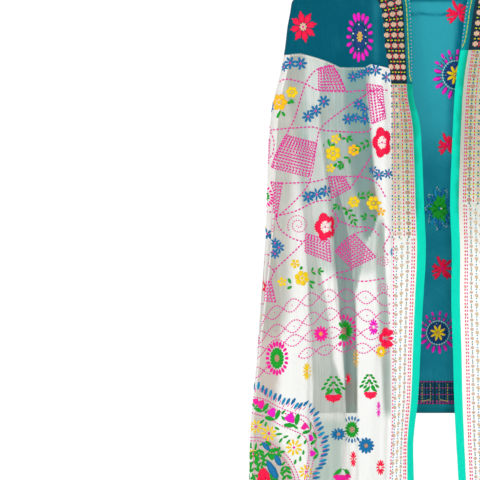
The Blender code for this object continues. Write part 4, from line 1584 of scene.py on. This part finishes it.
RUNNING_LINES = (
    ((254, 311), (238, 307), (211, 314), (189, 325), (147, 327), (115, 325), (77, 325)),
    ((171, 285), (194, 293), (211, 317), (227, 368), (240, 395), (267, 450)),
    ((171, 285), (157, 299), (146, 325)),
    ((115, 333), (147, 354), (184, 384), (192, 407), (200, 458), (214, 488), (256, 528), (278, 533)),
    ((270, 389), (235, 386), (198, 384), (182, 389), (136, 392), (110, 391), (104, 384)),
    ((269, 391), (261, 407), (264, 426), (272, 434)),
    ((104, 429), (126, 464), (141, 485)),
    ((275, 472), (246, 474), (200, 472), (174, 466)),
    ((147, 463), (120, 464), (96, 474), (82, 498)),
    ((259, 527), (227, 519), (195, 504), (168, 501)),
    ((168, 517), (160, 528), (158, 538), (166, 552)),
    ((160, 533), (134, 543), (107, 546), (91, 559)),
    ((162, 583), (149, 567), (131, 555), (110, 549)),
    ((162, 618), (146, 615), (133, 611)),
    ((162, 624), (120, 631), (83, 626)),
    ((258, 530), (250, 549), (232, 562), (214, 568)),
    ((211, 565), (224, 579), (243, 597), (259, 613), (267, 631)),
    ((190, 637), (174, 627), (162, 619)),
    ((280, 584), (259, 584)),
    ((272, 592), (270, 605), (259, 615)),
    ((88, 538), (75, 554), (86, 576), (78, 591)),
    ((115, 333), (102, 327), (85, 360), (104, 379)),
)
SPIRALS = (((222, 541), 17.6), ((266, 547), 8), ((86, 600), 9.6), ((86, 643), 9.6))
POPPIES = (
    # centre, width, height, heart, how far it reaches, the stretch across that shows
    ((88, 409), 31, 50, "cream", 0.52, (60, 131)),
    ((179, 544), 34, 46, "cream", 0.52, (167, 208)),
    ((81, 722), 25, 37, "copper", 0.30, (60, 131)),
)
SUN_FLOWERS = (
    # centre, width, height, rays, the stretch across that shows
    ((256, 754), 37, 56, "hot_pink", (192, 304)),
    ((149, 710), 46, 53, "hot_pink", (125, 155)),
    ((136, 868), 37, 44, "blue", (125, 146)),
)
DAISIES = (
    # centre, width, height, rays, heart, the stretch across that shows
    ((186, 715), 24, 27, "hot_pink", "orange", (0, 999)),
    ((102, 704), 16, 27, "magenta", "cream", (0, 999)),
    ((90, 743), 17.6, 21, "yellow", "cream", (0, 999)),
    ((208, 775), 14.4, 30, "yellow", "orange", (0, 999)),
    ((130, 754), 9.6, 32, "orange", "yellow", (0, 999)),
    ((147, 787), 21, 22, "red", "cream", (0, 146)),
    ((158, 875), 27, 21, "blue", "copper", (0, 999)),
    ((114, 893), 27, 27, "blue", "copper", (0, 999)),
    ((91, 928), 14.4, 26, "red", "cream", (0, 999)),
    ((134, 915), 11.2, 27, "red", "red", (0, 999)),
    ((94, 835), 8, 27, "magenta", "magenta", (0, 999)),
    ((72, 584), 8, 14.4, "sky", "sky", (0, 999)),
)
TULIPS = (
    # cup, width, height, petals
    ((166, 818), 27, 19.2, "red"),
    ((107, 813), 21, 17.6, "red"),
    ((152, 946), 29, 19.2, "hot_pink"),
)
FEATHERS = (((166, 811), 40, 30), ((109, 807), 32, 29))
LEAVES = (
    # start, end
    ((240, 346), (232, 343)), ((250, 357), (256, 370)), ((248, 359), (243, 367)),
    ((235, 339), (229, 346)), ((171, 416), (174, 403)), ((170, 415), (163, 411)),
    ((181, 416), (182, 410)), ((160, 442), (165, 448)), ((154, 447), (155, 453)),
    ((219, 613), (216, 607)), ((234, 635), (238, 626)), ((232, 639), (240, 643)),
    ((205, 635), (198, 643)), ((205, 631), (194, 634)),
    ((275, 610), (280, 616)),
)
LEAF_SPRAYS = (
    # stem, pairs of leaves, length of a leaf
    (((158, 407), (150, 399), (142, 402)), 2, 6.4),
    (((102, 407), (114, 411), (125, 418)), 3, 6.4),
    (((136, 429), (144, 437), (152, 443)), 2, 7),
    (((139, 511), (146, 517), (154, 507), (160, 511)), 2, 6.4),
    (((147, 512), (139, 523), (133, 535)), 3, 6.4),
    (((128, 499), (122, 495), (109, 493)), 3, 6.1),
    (((94, 523), (104, 530), (115, 528)), 2, 6.1),
    (((205, 618), (197, 615), (189, 615)), 2, 6.1),
)
EYE_BANDS = (
    # middle of the band, length of an eye, half its height
    ((
        (299, 703), (274, 688), (246, 675), (216, 664), (186, 656), (154, 653), (122, 656), (91, 659),
        (74, 661),
    ), 30, 10.2),
    ((
        (299, 728), (270, 714), (246, 707), (229, 703), (206, 693), (182, 685), (150, 682), (118, 685),
        (91, 688), (74, 690),
    ), 30, 9.9),
    ((
        (302, 752), (283, 743), (251, 731), (219, 723), (184, 715), (150, 712), (118, 714), (74, 719),
    ), 31, 9),
    (((306, 779), (282, 775), (264, 770)), 29, 9),
    (((222, 751), (203, 744), (179, 741), (155, 736), (74, 741)), 30, 8),
)
HALF_WHEEL = (299, 973)
WHEEL_RAYS = (
    (294, 799), (287, 799), (280, 800), (272, 810), (264, 812), (256, 815), (246, 823), (234, 821),
    (224, 831), (213, 826), (206, 829), (200, 835), (195, 843), (190, 858), (187, 871),
    (179, 880), (182, 887), (176, 895), (182, 909), (181, 919), (189, 928), (194, 943),
    (197, 955), (202, 968),
)
WHEEL_LINES = (
    (
        (302, 815), (278, 819), (253, 832), (227, 842), (210, 848), (198, 864), (194, 880), (195, 903),
        (200, 927), (205, 955),
    ),
    (
        (302, 820), (280, 825), (254, 838), (229, 847), (214, 854), (204, 867), (200, 882), (202, 903),
        (206, 927), (210, 955),
    ),
    ((302, 840), (274, 848), (250, 861), (230, 869), (211, 880), (205, 903), (210, 933), (214, 959)),
    ((302, 880), (278, 882), (258, 895), (238, 912), (226, 933), (219, 955)),
    ((302, 886), (280, 887), (261, 899), (243, 917), (231, 936), (226, 955)),
)
WHEEL_TULIPS = (
    # middle, size, way it points
    ((282, 829), 12.8, -1.3), ((264, 842), 13.6, -1.1), ((234, 851), 15.2, -0.9),
    ((210, 864), 11.2, -0.55), ((201, 882), 10.4, -0.2), ((198, 906), 9.6, 0.0),
    ((291, 824), 9.6, -1.5),
)
WHEEL_FLOWERS = (
    # centre, radius, petals
    ((290, 863), 11.8, "yellow"), ((269, 874), 13.4, "yellow"),
    ((229, 896), 13.8, "yellow"), ((210, 935), 12.2, "yellow"),
    ((294, 906), 8, "orange"),
)
WHEEL_LEAVES = (
    # middle, length, angle
    ((280, 855), 8, 0.7), ((274, 859), 7.4, 1.2), ((253, 875), 9.6, 0.1), ((250, 885), 8.6, 0.9),
    ((256, 866), 7.4, -0.5), ((242, 879), 8, 0.4), ((238, 887), 8, 0.9), ((221, 879), 7.4, 0.9),
    ((211, 887), 7.4, 1.2), ((219, 914), 8, 1.5), ((227, 919), 7.4, 1.3), ((214, 904), 7, 1.4),
    ((246, 922), 8, 0.7), ((242, 933), 8, 1.0), ((248, 939), 8, -0.9), ((238, 943), 8, -1.0),
    ((299, 893), 9.6, 1.2), ((290, 895), 11.2, 1.4), ((283, 904), 11.2, -1.2), ((274, 909), 9.6, 0.9),
    ((270, 919), 9.6, -0.7), ((290, 917), 11.2, 1.5), ((298, 927), 11.2, 1.3), ((278, 920), 9.6, 1.2),
    ((280, 891), 8, 0.5), ((286, 930), 9.6, -1.3), ((259, 911), 8, -0.5), ((261, 899), 7.4, 0.4),
    ((226, 864), 7.4, -0.6), ((246, 850), 8, -0.9), ((272, 839), 8, 0.6), ((246, 840), 7.4, 0.8),
)
WHEEL_HEARTS = (
    # start, end, width, floss
    ((280, 887), (268, 901), 9.0, "blue"), ((275, 886), (265, 893), 7.0, "green"),
    ((260, 906), (250, 926), 10.0, "blue"), ((273, 916), (255, 948), 13.0, "blue"),
    ((268, 908), (262, 916), 7.0, "green"), ((264, 946), (252, 953), 8.0, "green"),
    ((278, 927), (286, 952), 9.6, "red"), ((280, 927), (277, 955), 9.6, "red"),
    ((278, 928), (267, 952), 9.6, "red"), ((296, 936), (290, 955), 4.8, "green"),
)
WHEEL_SPRAYS = (
    ((298, 890), (294, 906), (293, 926), (290, 948)),
    ((287, 892), (284, 908), (281, 924)),
    ((276, 901), (265, 905), (254, 904)),
    ((247, 914), (243, 930), (240, 946), (238, 962)),
    ((262, 930), (262, 944), (266, 958)),
)
TEAL_FRONT = (((214, 223), 46, 53), ((123, 239), 45, 83))
BACK_MOTIFS = (
    # kind, centre, width, height
    ("star", (37, 199), 54, 44),
    ("mandala", (32, 299), 76, 83),
    ("star", (20, 411), 42, 42),
    ("burst", (7, 514), 48, 72),
    ("star", (12, 611), 46, 45),
    ("mandala", (5, 715), 67, 70),
)


# ---- Sewing ---------------------------------------------------------------------------

# Woven patterns: discs, dashed lines and rows of dashes, in millimetres in from the tape.
TEAL_WEAVE = {
    "discs": ((5.2, "blush"), (17.4, "blush"), (29.6, "blush")),
    "disc_size": (9.4, 9.0),
    "lines": ((11.3, "red"), (23.5, "red"), (35.6, "red")),
    "pitch": 16.4,
    "dots": None,
    "dashes": ("lime", 6.1, 3.6, 2.2),
}
CREAM_WEAVE = {
    "discs": ((10.4, "copper"), (23.6, "tan"), (33.0, "tan")),
    "disc_size": (7.4, 7.0),
    "lines": ((1.8, "rose"), (4.8, "red"), (16.8, "red"), (28.8, "rose")),
    "pitch": 15.8,
    "dots": ("petrol", 2.9),
    "dashes": ("lime", 4.4, 2.8, 2.2),
}
LOWER_WEAVE = {
    "discs": ((12.2, "shell"), (20.0, "tan"), (27.6, "shell")),
    "disc_size": (5.8, 5.2),
    "stagger": 0.33,
    "lines": ((2.6, "red"), (6.0, "rose"), (31.6, "rose"), (35.4, "red")),
    "pitch": 14.6,
    "dots": ("sky", 2.2),
    "dashes": ("gold", 8.8, 2.6, 1.5),
}
LOWER_FROM = 250.0  # how far below the seam the discs grow pale
LINE_STITCH = 3.4
LINE_GAP = 2.2
LEFT_SHIFT = 5.0  # the left border's pattern starts further from its tape
UPPER_LIFT = 0.0004  # metres from the cloth to the stitches of the upper band
HEM_LIFT = 0.0007  # and to those of the hem border
WRONG_SIDE_ROWS = (16.0, 19.5, 30.5, 41.0, 50.8)
WHEEL_RAY_COUNT = 33
WHEEL_SHAPE = (1.45, 1.0)  # how much less wide than high the wheel is
WHEEL_RAY_HALF = 6.8
WHEEL_RAY_FOOT = (9.5, 3.4, 8)  # the small stitch beside each ray: inwards, aside, length
PLEAT_ROWS = (345, 415, 485, 560, 635, 705, 775)
LOW_PLEAT_ROWS = (850, 920, 990, 1050)
LOW_PLEATS = 800  # below here the wheel is in the way
PLEATS_FROM = 36  # past the front's outline, where the first motif lies; lower down:
LOW_PLEATS_FROM = 165
PAST_PLEATS = 30
SIDE_PITCH = 66.0
SIDE_SWAY = 8.0
WAVE_BELOW = 35  # the running line below each row of motifs: its place, height and length
WAVE_HEIGHT = 7
WAVE_LENGTH = 31.0
WAVE_STEP = 12
WAVE_EARLY = 16  # how far before the first motif it starts
LAST_WAVE = 1090

# Places of what is sewn on the pleats, (across, down) from the middle of each motif
FLOWER_STEMS = (((13, 0), (20, -8), (26, -16)), ((-13, 0), (-20, 8), (-25, 17)))
DAISY_STEM = ((0, 15), (5, 24), (13, 30))
LATTICE_CORNERS = ((-23, -18), (21, -22), (24, 16), (-19, 21))
BESIDE_BACK_MOTIF = ((38, -24), (50, 0), (36, 24))
LOW_FLOWERS = ((112, 1000), (150, 1040), (92, 1060), (128, 1078))
# Threads of a disc: share of its length, and of its width across the middle.
DISC_THREADS = ((0.62, -0.385), (1.0, -0.13), (1.0, 0.13), (0.62, 0.385))
DISC_THREAD_WIDTH = 0.29  # of the disc's width
DOTS_ASIDE = 0.345  # of the pitch, from the middle of a disc to the dots beside it
DASHES_FROM = 3.4  # rows of dashes: how far inside the tape they start,
DASHES_SHORT_OF = 2.0  # and how far short of the border's inner edge they stop
LINE_WIDTH = 1.8


class Raised:
    """The same places, moved out from the cloth by a little, towards one side."""

    def __init__(self, surface, lift):
        self.surface = surface
        self.lift = lift

    def point(self, first, second):
        return self.surface.point(first, second) + self.surface.facing(first, second) * self.lift

    def facing(self, first, second):
        return self.surface.facing(first, second)

    def holds(self, first, second):
        return self.surface.holds(first, second)


def weave_border(strip, start, end, weave, shift=0.0):
    """Discs in columns between dashed lines, with rows of short dashes between the discs."""
    needle = Needle(strip)
    inward = TAPE / MM + shift
    rows = max(int((end - start) / weave["pitch"]), 1)
    pitch = (end - start) / rows
    long, wide = weave["disc_size"]
    dash, dash_pitch, dash_length, dash_width = weave["dashes"]
    for row in range(rows):
        for k, (across, disc) in enumerate(weave["discs"]):
            place = inward + across
            middle = start + (row + 0.5 + k * weave.get("stagger", 0.0)) * pitch
            for length, aside in DISC_THREADS:
                ends = [(middle + way * long * length / 2, place + aside * wide) for way in (-1, 1)]
                needle.stitch(disc, *ends, wide * DISC_THREAD_WIDTH, "woven")
            if weave["dots"]:
                floss, size = weave["dots"]
                for side in (-1, 1):
                    spot = middle + side * pitch * DOTS_ASIDE
                    ends = (spot - size / 2, place), (spot + size / 2, place)
                    needle.stitch(floss, *ends, size, "woven")
        spot = start + row * pitch
        for place in np.arange(inward + DASHES_FROM, BAND / MM - DASHES_SHORT_OF, dash_pitch):
            ends = (spot, place - dash_length / 2), (spot, place + dash_length / 2)
            needle.stitch(dash, *ends, dash_width)
    count = int((end - start) / (LINE_STITCH + LINE_GAP))
    for across, floss in weave["lines"]:
        place = inward + across
        for k in range(count):
            spot = start + k * (LINE_STITCH + LINE_GAP)
            needle.stitch(floss, (spot, place), (spot + LINE_STITCH, place), LINE_WIDTH)


def sew_borders(grids, bands):
    for half in HALVES:
        strip = Strip(bands[half.name])
        seam = float(strip.length[BAND_SEAM[half.name]])
        surface = Raised(strip, UPPER_LIFT * half.sign)
        shift = LEFT_SHIFT if half.sign > 0 else 0.0
        weave_border(surface, 2.0, seam - 1.5, TEAL_WEAVE, shift)
        weave_border(surface, seam + 1.0, seam + LOWER_FROM, CREAM_WEAVE, shift)
        weave_border(surface, seam + LOWER_FROM, strip.length[-1] - 16, LOWER_WEAVE, shift)
        needle = Needle(surface)
        ridge = float(strip.length[BAND_RIDGE])
        needle.running("lime", [(ridge, 7.5), (seam - 30, 7.0), (seam - 4, 2.2)], 1.3, 7.0, 0.3)
        needle.running("orchid", [(ridge, 1.9), (seam - 40, 1.9), (seam - 5, 1.7)], 1.5, 1.9, 3.6)
        sew_hem(grids[half.name], half)


def sew_hem(grid, half):
    """The border along the lower edge: the back's from the seam to its middle, and the ends'."""
    hem = grid[PANEL_END:][::-1].transpose(1, 0, 2)
    for first, last, weave in (
        (SEAM_COLUMN, COLUMNS - 1, TEAL_WEAVE),
        (INNER_CORNER, SEAM_COLUMN, CREAM_WEAVE),
    ):
        strip = Strip(hem[first : last + 1])
        end = float(strip.length[-1])
        weave_border(Raised(strip, HEM_LIFT * half.sign), 2.0, end - 1.0, weave)
        if weave is TEAL_WEAVE:
            sew_wrong_side(Needle(Raised(strip, -HEM_LIFT * half.sign)), end)


def sew_wrong_side(needle, end):
    """Loose threads behind the back's border: blue floats, dashed rows and yellow columns."""
    for level, across in enumerate(np.arange(18.0, 50.0, 2.6)):
        start = 1.0 + 2.3 * (level % 2)
        needle.running("petrol", [(start, across), (end, across)], 1.9, 3.4, 1.4, curved=False)
    for across in WRONG_SIDE_ROWS:
        needle.running("rose", [(1.0, across), (end, across)], 1.9, 3.2, 1.5, curved=False)
    for k, place in enumerate(np.arange(end - 7, 2, -13.6)):
        needle.running("gold", [(place, 17.5), (place, 49.0)], 1.6, 3.0, 1.3, curved=False)
        if k % 3 == 1:
            level = (48.0, 19.5)[k % 2]
            needle.stitch("gold", (place, level), (place + 7, level + 1), 1.8)
            needle.stitch("gold", (place + 6, level + 1), (place + 12.5, level + 2), 1.8)


def evenly(path, count):
    """Points at even steps along a path."""
    path = np.array(path, float)
    steps = running_total(np.linalg.norm(np.diff(path, axis=0), axis=1))
    places = np.linspace(0, steps[-1], count)
    return np.stack([np.interp(places, steps, side) for side in path.T], axis=1)


def sew_wheel(needle, mirrored):
    """Half of the big wheel at the outline; mirrored, its other half on the first pleat."""
    centre = HALF_WHEEL

    def place(point):
        return (2 * centre[0] - point[0], point[1]) if mirrored else point

    def copies(point):
        """The point, and its like below the middle of the wheel."""
        return point, (point[0], 2 * centre[1] - point[1])

    def placed(point, flip):
        return place(copies(point)[flip])

    for k, ray in enumerate(evenly(WHEEL_RAYS, WHEEL_RAY_COUNT)):
        for spot in copies(tuple(ray)):
            out = np.array(spot) - centre
            out = out / np.linalg.norm(out * WHEEL_SHAPE) * WHEEL_SHAPE
            middle = np.array(spot) + out * 1.6 * math.sin(k * 2.2)
            ends = [place(tuple(middle + way * out * WHEEL_RAY_HALF)) for way in (-1, 1)]
            needle.stitch(("blue", "sky", "blue")[k % 3], *ends, 5.0, "satin")
            inwards, aside, length = WHEEL_RAY_FOOT
            foot = np.array(spot) - out * inwards + (out[1] * aside, -out[0] * aside)
            needle.stitch("rose", place(tuple(foot)), place(tuple(foot + out * length)), 1.3)
    for path in WHEEL_LINES:
        for flip in (False, True):
            line = [placed(point, flip) for point in path]
            needle.running("rose", line, 1.8, 3.3, 1.1)
    for k, (spot, size, angle) in enumerate(WHEEL_TULIPS):
        petal = "magenta" if k % 3 else "hot_pink"
        for flip in (False, True):
            spot_here = placed(spot, flip)
            heading = angle * (-1 if flip else 1)
            if mirrored:
                heading = math.pi - heading
            side = (math.cos(heading + math.pi / 2), math.sin(heading + math.pi / 2))
            for share in (-0.62, -0.2, 0.2, 0.62):
                foot = polar(spot_here, size * 0.5, heading + math.pi)
                tip = polar(spot_here, size * 0.62, heading)
                tip = (tip[0] + side[0] * share * size * 0.72, tip[1] + side[1] * share * size * 0.72)
                needle.stitch(petal, foot, tip, size * 0.46, "satin")
            for share in (-1, 1):
                foot = polar(spot_here, size * 0.85, heading + math.pi)
                tip = [at + toward * share * size for at, toward in zip(spot_here, side)]
                needle.stitch("green", foot, tip, size * 0.54, "satin")
    for spot, size, petal in WHEEL_FLOWERS:
        for spot_here in copies(spot):
            rays(needle, petal, place(spot_here), size * 0.25, size, 9, size * 0.30)
            knot(needle, "rose", place(spot_here), size * 0.32)
    for spot, size, angle in WHEEL_LEAVES:
        for flip in (False, True):
            heading = angle * (-1 if flip else 1)
            start, end = (polar(copies(spot)[flip], size * 0.6, heading + turn) for turn in (math.pi, 0))
            leaf(needle, place(start), place(end), 4.2)
    for stem in WHEEL_SPRAYS:
        for flip in (False, True):
            leaf_spray(needle, [placed(point, flip) for point in stem], len(stem) + 1, 8.0)
    for start, end, width, petal in WHEEL_HEARTS:
        for flip in (False, True):
            needle.stitch(petal, placed(start, flip), placed(end, flip), width, "satin")


def sew_front(half):
    """The cream front, and the two motifs of the teal above it."""
    needle = Needle(Front(half))
    for k, (centre, radius) in enumerate(BLUE_FLOWERS):
        little_flower(needle, centre, radius * 1.04, turn=k * 0.7)
    for k, (centre, radius) in enumerate(YELLOW_FLOWERS):
        round_flower(needle, centre, radius * 1.06, turn=k * 0.9, petal="yellow" if k % 4 else "orange")
    for corners in LATTICES:
        lattice(needle, corners)
    for path in RUNNING_LINES:
        needle.running("rose", path, 2.3, 4.6, 1.6)
    for centre, radius in SPIRALS:
        spiral(needle, centre, radius)
    for centre, width, height, heart, reach, shows in POPPIES:
        poppy(needle.between(*shows), centre, width, height, heart=heart, heart_reach=reach)
    for centre, width, height, ray, shows in SUN_FLOWERS:
        sun_flower(needle.between(*shows), centre, width, height, ray)
    for centre, width, height, ray, heart, shows in DAISIES:
        daisy(needle.between(*shows), centre, width, height, ray, heart)
    for cup, width, height, petal in TULIPS:
        tulip(needle, cup, width, height, petal)
    for foot, width, height in FEATHERS:
        feather(needle, foot, width, height)
    for start, end in LEAVES:
        leaf(needle, start, end, 5.0)
    for stem, pairs, length in LEAF_SPRAYS:
        leaf_spray(needle, stem, pairs, length)
    for middle, length, swell in EYE_BANDS:
        eye_band(needle, middle, length, swell)
    sew_wheel(needle, False)
    sew_wheel(needle, True)
    star_flower(needle, *TEAL_FRONT[0])
    mandala(needle, *TEAL_FRONT[1], inner="zari", ringed=False)
    sew_pleats(needle)
    sew_front_end(needle)


def sew_seam(half):
    """A line of stitches that holds the end panel's turned edge."""
    needle = Needle(Front(half))
    path = [(x / MM, -z / MM + 2.6) for x, z in sorted(half.seam)]
    needle.running("cream", path, 1.0, 3.0, 1.2, curved=False)


def sew_front_end(needle):
    """The lowest stretch of the front, below the wheel's middle."""
    for k, spot in enumerate(LOW_FLOWERS):
        if k % 2:
            round_flower(needle, spot, 11, k)
        else:
            daisy(needle, spot, 24, 24)
    for down in (1086, 1092):
        needle.running("rose", [(84, down), (180, down + 2), (298, down)], 1.5, 3.2, 1.6)
    tulip(needle, (168, 1000), 26, 18)
    feather(needle, (168, 994), 34, 30)


def beside(spot, offsets):
    return [(spot[0] + out, spot[1] + below) for out, below in offsets]


def sew_pleats(needle):
    """Flowers, lattices and running lines round the pleats, to where the back panel begins."""
    surface = needle.surface
    for row, down in enumerate(PLEAT_ROWS + LOW_PLEAT_ROWS):
        start = surface.side_start(down) + (PLEATS_FROM if down < LOW_PLEATS else LOW_PLEATS_FROM)
        stop = surface.round_to_back(down) + PAST_PLEATS
        for k, across in enumerate(np.arange(start, stop, SIDE_PITCH)):
            kind = (k + 2 * row) % 6
            spot = (float(across), down + SIDE_SWAY * math.sin(k * 2.1 + row))
            if kind == 0:
                for turn in (-1, 0, 1):
                    little_flower(needle, (spot[0] + turn * 14, spot[1] - turn * 6), 9.5, turn)
            elif kind == 1:
                round_flower(needle, spot, 12.5, k)
                for stem in FLOWER_STEMS:
                    leaf_spray(needle, beside(spot, stem), 3, 6.2)
            elif kind == 2:
                lattice(needle, beside(spot, LATTICE_CORNERS))
            elif kind == 3:
                poppy(needle, spot, 36, 36)
            elif kind == 4:
                sun_flower(needle, spot, 40, 40)
            else:
                daisy(needle, spot, 27, 27, "hot_pink", "orange")
                leaf_spray(needle, beside(spot, DAISY_STEM), 2, 6)
        level = down + WAVE_BELOW
        if level < LAST_WAVE:
            places = np.arange(start - WAVE_EARLY, stop, WAVE_STEP)
            wave = [(place, level + WAVE_HEIGHT * math.sin(place / WAVE_LENGTH)) for place in places]
            needle.running("rose", wave, 2.3, 3.7, 1.7)


# Scattered motifs: pitch of the columns and of the rows, the first row, how far every second
# row and every second column is shifted, and sizes
BACK_PITCH = (98, 92)
BACK_FIRST_ROW = 262
BACK_SHIFTS = (8, 46)
BACK_SIZES = {"mandala": 54, "star": 36, "burst": 46}
BACK_KINDS = ("mandala", "star", "burst", "star")


def sew_back():
    """Bold scattered motifs on the teal, on both faces of the cloth."""
    needle = Needle(Back())
    makers = {"star": spider_star, "mandala": mandala, "burst": burst}
    for kind, centre, width, height in BACK_MOTIFS:
        makers[kind](needle, centre, width, height)
    for column in (-2, -1, 1, 2):
        for row in range(6):
            across = column * BACK_PITCH[0] + BACK_SHIFTS[0] * (row % 2)
            down = BACK_FIRST_ROW + row * BACK_PITCH[1] + BACK_SHIFTS[1] * (column % 2)
            spot = (across, down)
            kind = BACK_KINDS[(row * 2 + column) % 4]
            size = BACK_SIZES[kind]
            makers[kind](needle, spot, size, size * 1.06)
            needle.running("rose", beside(spot, BESIDE_BACK_MOTIF), 2.0, 3.4, 2.0)


FLOSSES = {
    # colour, and the painted shade between its strands
    "rose": ((244, 26, 170), (218, 12, 140)),
    "hot_pink": ((255, 8, 162), (220, 0, 128)),
    "red": ((255, 2, 74), (220, 0, 50)),
    "magenta": ((250, 12, 204), (214, 4, 168)),
    "yellow": ((248, 216, 0), (242, 190, 0)),
    "orange": ((255, 200, 0), (244, 164, 0)),
    "green": ((8, 168, 40), (2, 132, 24)),
    "lime": ((228, 232, 30), (196, 204, 20)),
    "gold": ((214, 204, 84), (160, 150, 50)),
    "blue": ((0, 122, 178), (0, 86, 142)),
    "sky": ((0, 150, 196), (0, 118, 166)),
    "petrol": ((0, 106, 142), (0, 80, 118)),
    "navy": ((0, 62, 126), (0, 40, 92)),
    "cream": ((255, 240, 232), (244, 208, 204)),
    "blush": ((236, 200, 172), (186, 140, 110)),
    "tan": ((232, 206, 178), (210, 178, 148)),
    "copper": ((196, 150, 122), (168, 120, 94)),
    "zari": ((230, 190, 96), (170, 126, 54)),
    "silver": ((236, 240, 236), (190, 198, 198)),
    "plum": ((96, 60, 130), (70, 40, 104)),
    "orchid": ((226, 176, 206), (206, 140, 184)),
    "shell": ((226, 196, 178), (196, 160, 142)),
}
METAL_THREADS = {"zari": 0.45, "silver": 0.25}


def thread_finishes():
    finishes = {}
    for name, (colour, shade) in FLOSSES.items():
        label = name.replace("_", " ") + " floss"
        finishes[name] = floss(label, ink(*colour), ink(*shade), METAL_THREADS.get(name, 0.0))
    return finishes


# ---- Scene ----------------------------------------------------------------------------


def dress_hanger(frame):
    for node, finish in (
        ("hanger_arms", pale_wood("pale wood")),
        ("hanger_hook", drawn_steel("drawn steel")),
    ):
        materials = frame["nodes"][node].data.materials
        materials.clear()
        materials.append(finish)


FLOOR_Z = -1.36
FLOOR_CORNERS = ((-4, -4), (4, -4), (4, 2.6), (-4, 2.6))
VIEW_CENTRE = (-0.3152, -0.565)  # X and Z at the middle of the frame
VIEW_FROM_Y = -6.0
VIEW_LENS = 280.0
LIGHTS_AIM = (0, 0, -0.55)
FRONT_LIGHT = 0.48
BACK_LIGHT = 1.06


def add_floor():
    mesh = bpy.data.meshes.new("floor")
    mesh.from_pydata(
        [(x, y, FLOOR_Z) for x, y in FLOOR_CORNERS],
        [],
        [(0, 1, 2, 3)],
    )
    paint = Paint("pale floor")
    soft = paint.noise(paint.place(), 3.0)
    mesh.materials.append(
        paint.finish(base_color=paint.mixed(soft, ink(232, 232, 230), ink(238, 238, 236)), roughness=0.8)
    )
    floor = bpy.data.objects.new("floor", mesh)
    bpy.context.scene.collection.objects.link(floor)


def add_light(name, place, size, power):
    data = bpy.data.lights.new(name, "AREA")
    data.shape = "DISK"
    data.size = size
    data.energy = power
    lamp = bpy.data.objects.new(name, data)
    lamp.location = place
    aim = mathutils.Vector(LIGHTS_AIM) - mathutils.Vector(place)
    lamp.rotation_euler = aim.to_track_quat("-Z", "Y").to_euler()
    lamp.visible_camera = False
    bpy.context.scene.collection.objects.link(lamp)


def light_room():
    """An even white room, a little dimmer in front, where a large lamp gives the folds shape."""
    world = bpy.data.worlds.new("studio")
    bpy.context.scene.world = world
    world.use_nodes = True
    tree = world.node_tree
    ground = tree.nodes["Background"]
    where = tree.nodes.new("ShaderNodeTexCoord")
    split = tree.nodes.new("ShaderNodeSeparateXYZ")
    level = tree.nodes.new("ShaderNodeMapRange")
    level.inputs["From Min"].default_value = -0.3
    level.inputs["From Max"].default_value = 0.3
    level.inputs["To Min"].default_value = FRONT_LIGHT
    level.inputs["To Max"].default_value = BACK_LIGHT
    tree.links.new(where.outputs["Generated"], split.inputs[0])
    tree.links.new(split.outputs["Y"], level.inputs["Value"])
    tree.links.new(level.outputs[0], ground.inputs["Strength"])
    ground.inputs["Color"].default_value = (1, 1, 1, 1)
    add_light("window", (-2.6, -2.4, 1.2), 1.3, 30.0)
    add_light("front", (0.25, -3.3, -0.1), 1.2, 39.0)
    add_light("behind", (0.8, 2.8, 0.9), 1.6, 26.0)


def add_camera():
    data = bpy.data.cameras.new("camera")
    data.lens = VIEW_LENS
    data.clip_end = 60
    camera = bpy.data.objects.new("camera", data)
    camera.location = (VIEW_CENTRE[0], VIEW_FROM_Y, VIEW_CENTRE[1])
    camera.rotation_euler = (math.pi / 2, 0, 0)
    bpy.context.scene.collection.objects.link(camera)
    bpy.context.scene.camera = camera
    bpy.context.scene.view_settings.view_transform = "Standard"


def cloth_finishes():
    return {
        # The teal's paler colour is painted light; the deeper one is its own colour, also used for painted
        # shade.
        "teal": georgette(
            "teal georgette", ink(46, 160, 176), ink(0, 106, 130), "fullness", lets_light=0.3
        ),
        # The cream's second colour is what shows through, mixed with painted shade; the warm and cool
        # colours are painted shade.
        "cream": georgette(
            "cream georgette",
            ink(250, 251, 248),
            ink(196, 210, 194),
            "sheerness",
            (("warmth", ink(202, 190, 180)), ("coolness", ink(150, 178, 164))),
            0.50,
        ),
        # The last colour of each brocade is the painted shade that greys it.
        "deep": woven_ground(
            "teal brocade", ink(0, 46, 66), ink(0, 62, 84), ink(90, 96, 60), ink(0, 42, 60)
        ),
        "pale": woven_ground(
            "cream brocade", ink(255, 255, 253), ink(252, 252, 248), ink(246, 238, 214), ink(170, 180, 162)
        ),
        # The second colour of each tape is its painted shade, also mixed in at random.
        "turquoise": satin_tape("turquoise tape", ink(0, 158, 168), ink(0, 104, 120)),
        "mint": satin_tape("mint tape", ink(0, 234, 202), ink(0, 172, 140)),
    }


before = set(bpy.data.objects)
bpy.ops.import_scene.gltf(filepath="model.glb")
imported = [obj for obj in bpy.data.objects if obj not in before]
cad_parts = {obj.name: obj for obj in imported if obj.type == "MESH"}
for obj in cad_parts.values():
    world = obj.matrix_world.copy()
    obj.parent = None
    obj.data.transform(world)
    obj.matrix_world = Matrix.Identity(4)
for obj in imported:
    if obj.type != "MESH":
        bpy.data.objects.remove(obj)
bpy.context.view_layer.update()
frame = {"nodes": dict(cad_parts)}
grids = {half.name: cloth_grid(half) for half in HALVES}
bands = {half.name: band_grid(half) for half in HALVES}
fulls = {half.name: painted_shading_of(grids[half.name], half) for half in HALVES}
finishes = cloth_finishes()
lay_wide_cloth(grids, fulls, finishes)
lay_upper_bands(bands, finishes)
sew_borders(grids, bands)
for half in HALVES:
    sew_front(half)
    sew_seam(half)
sew_back()
sew_all(thread_finishes())
dress_hanger(frame)
add_floor()
light_room()
add_camera()
bpy.context.view_layer.update()
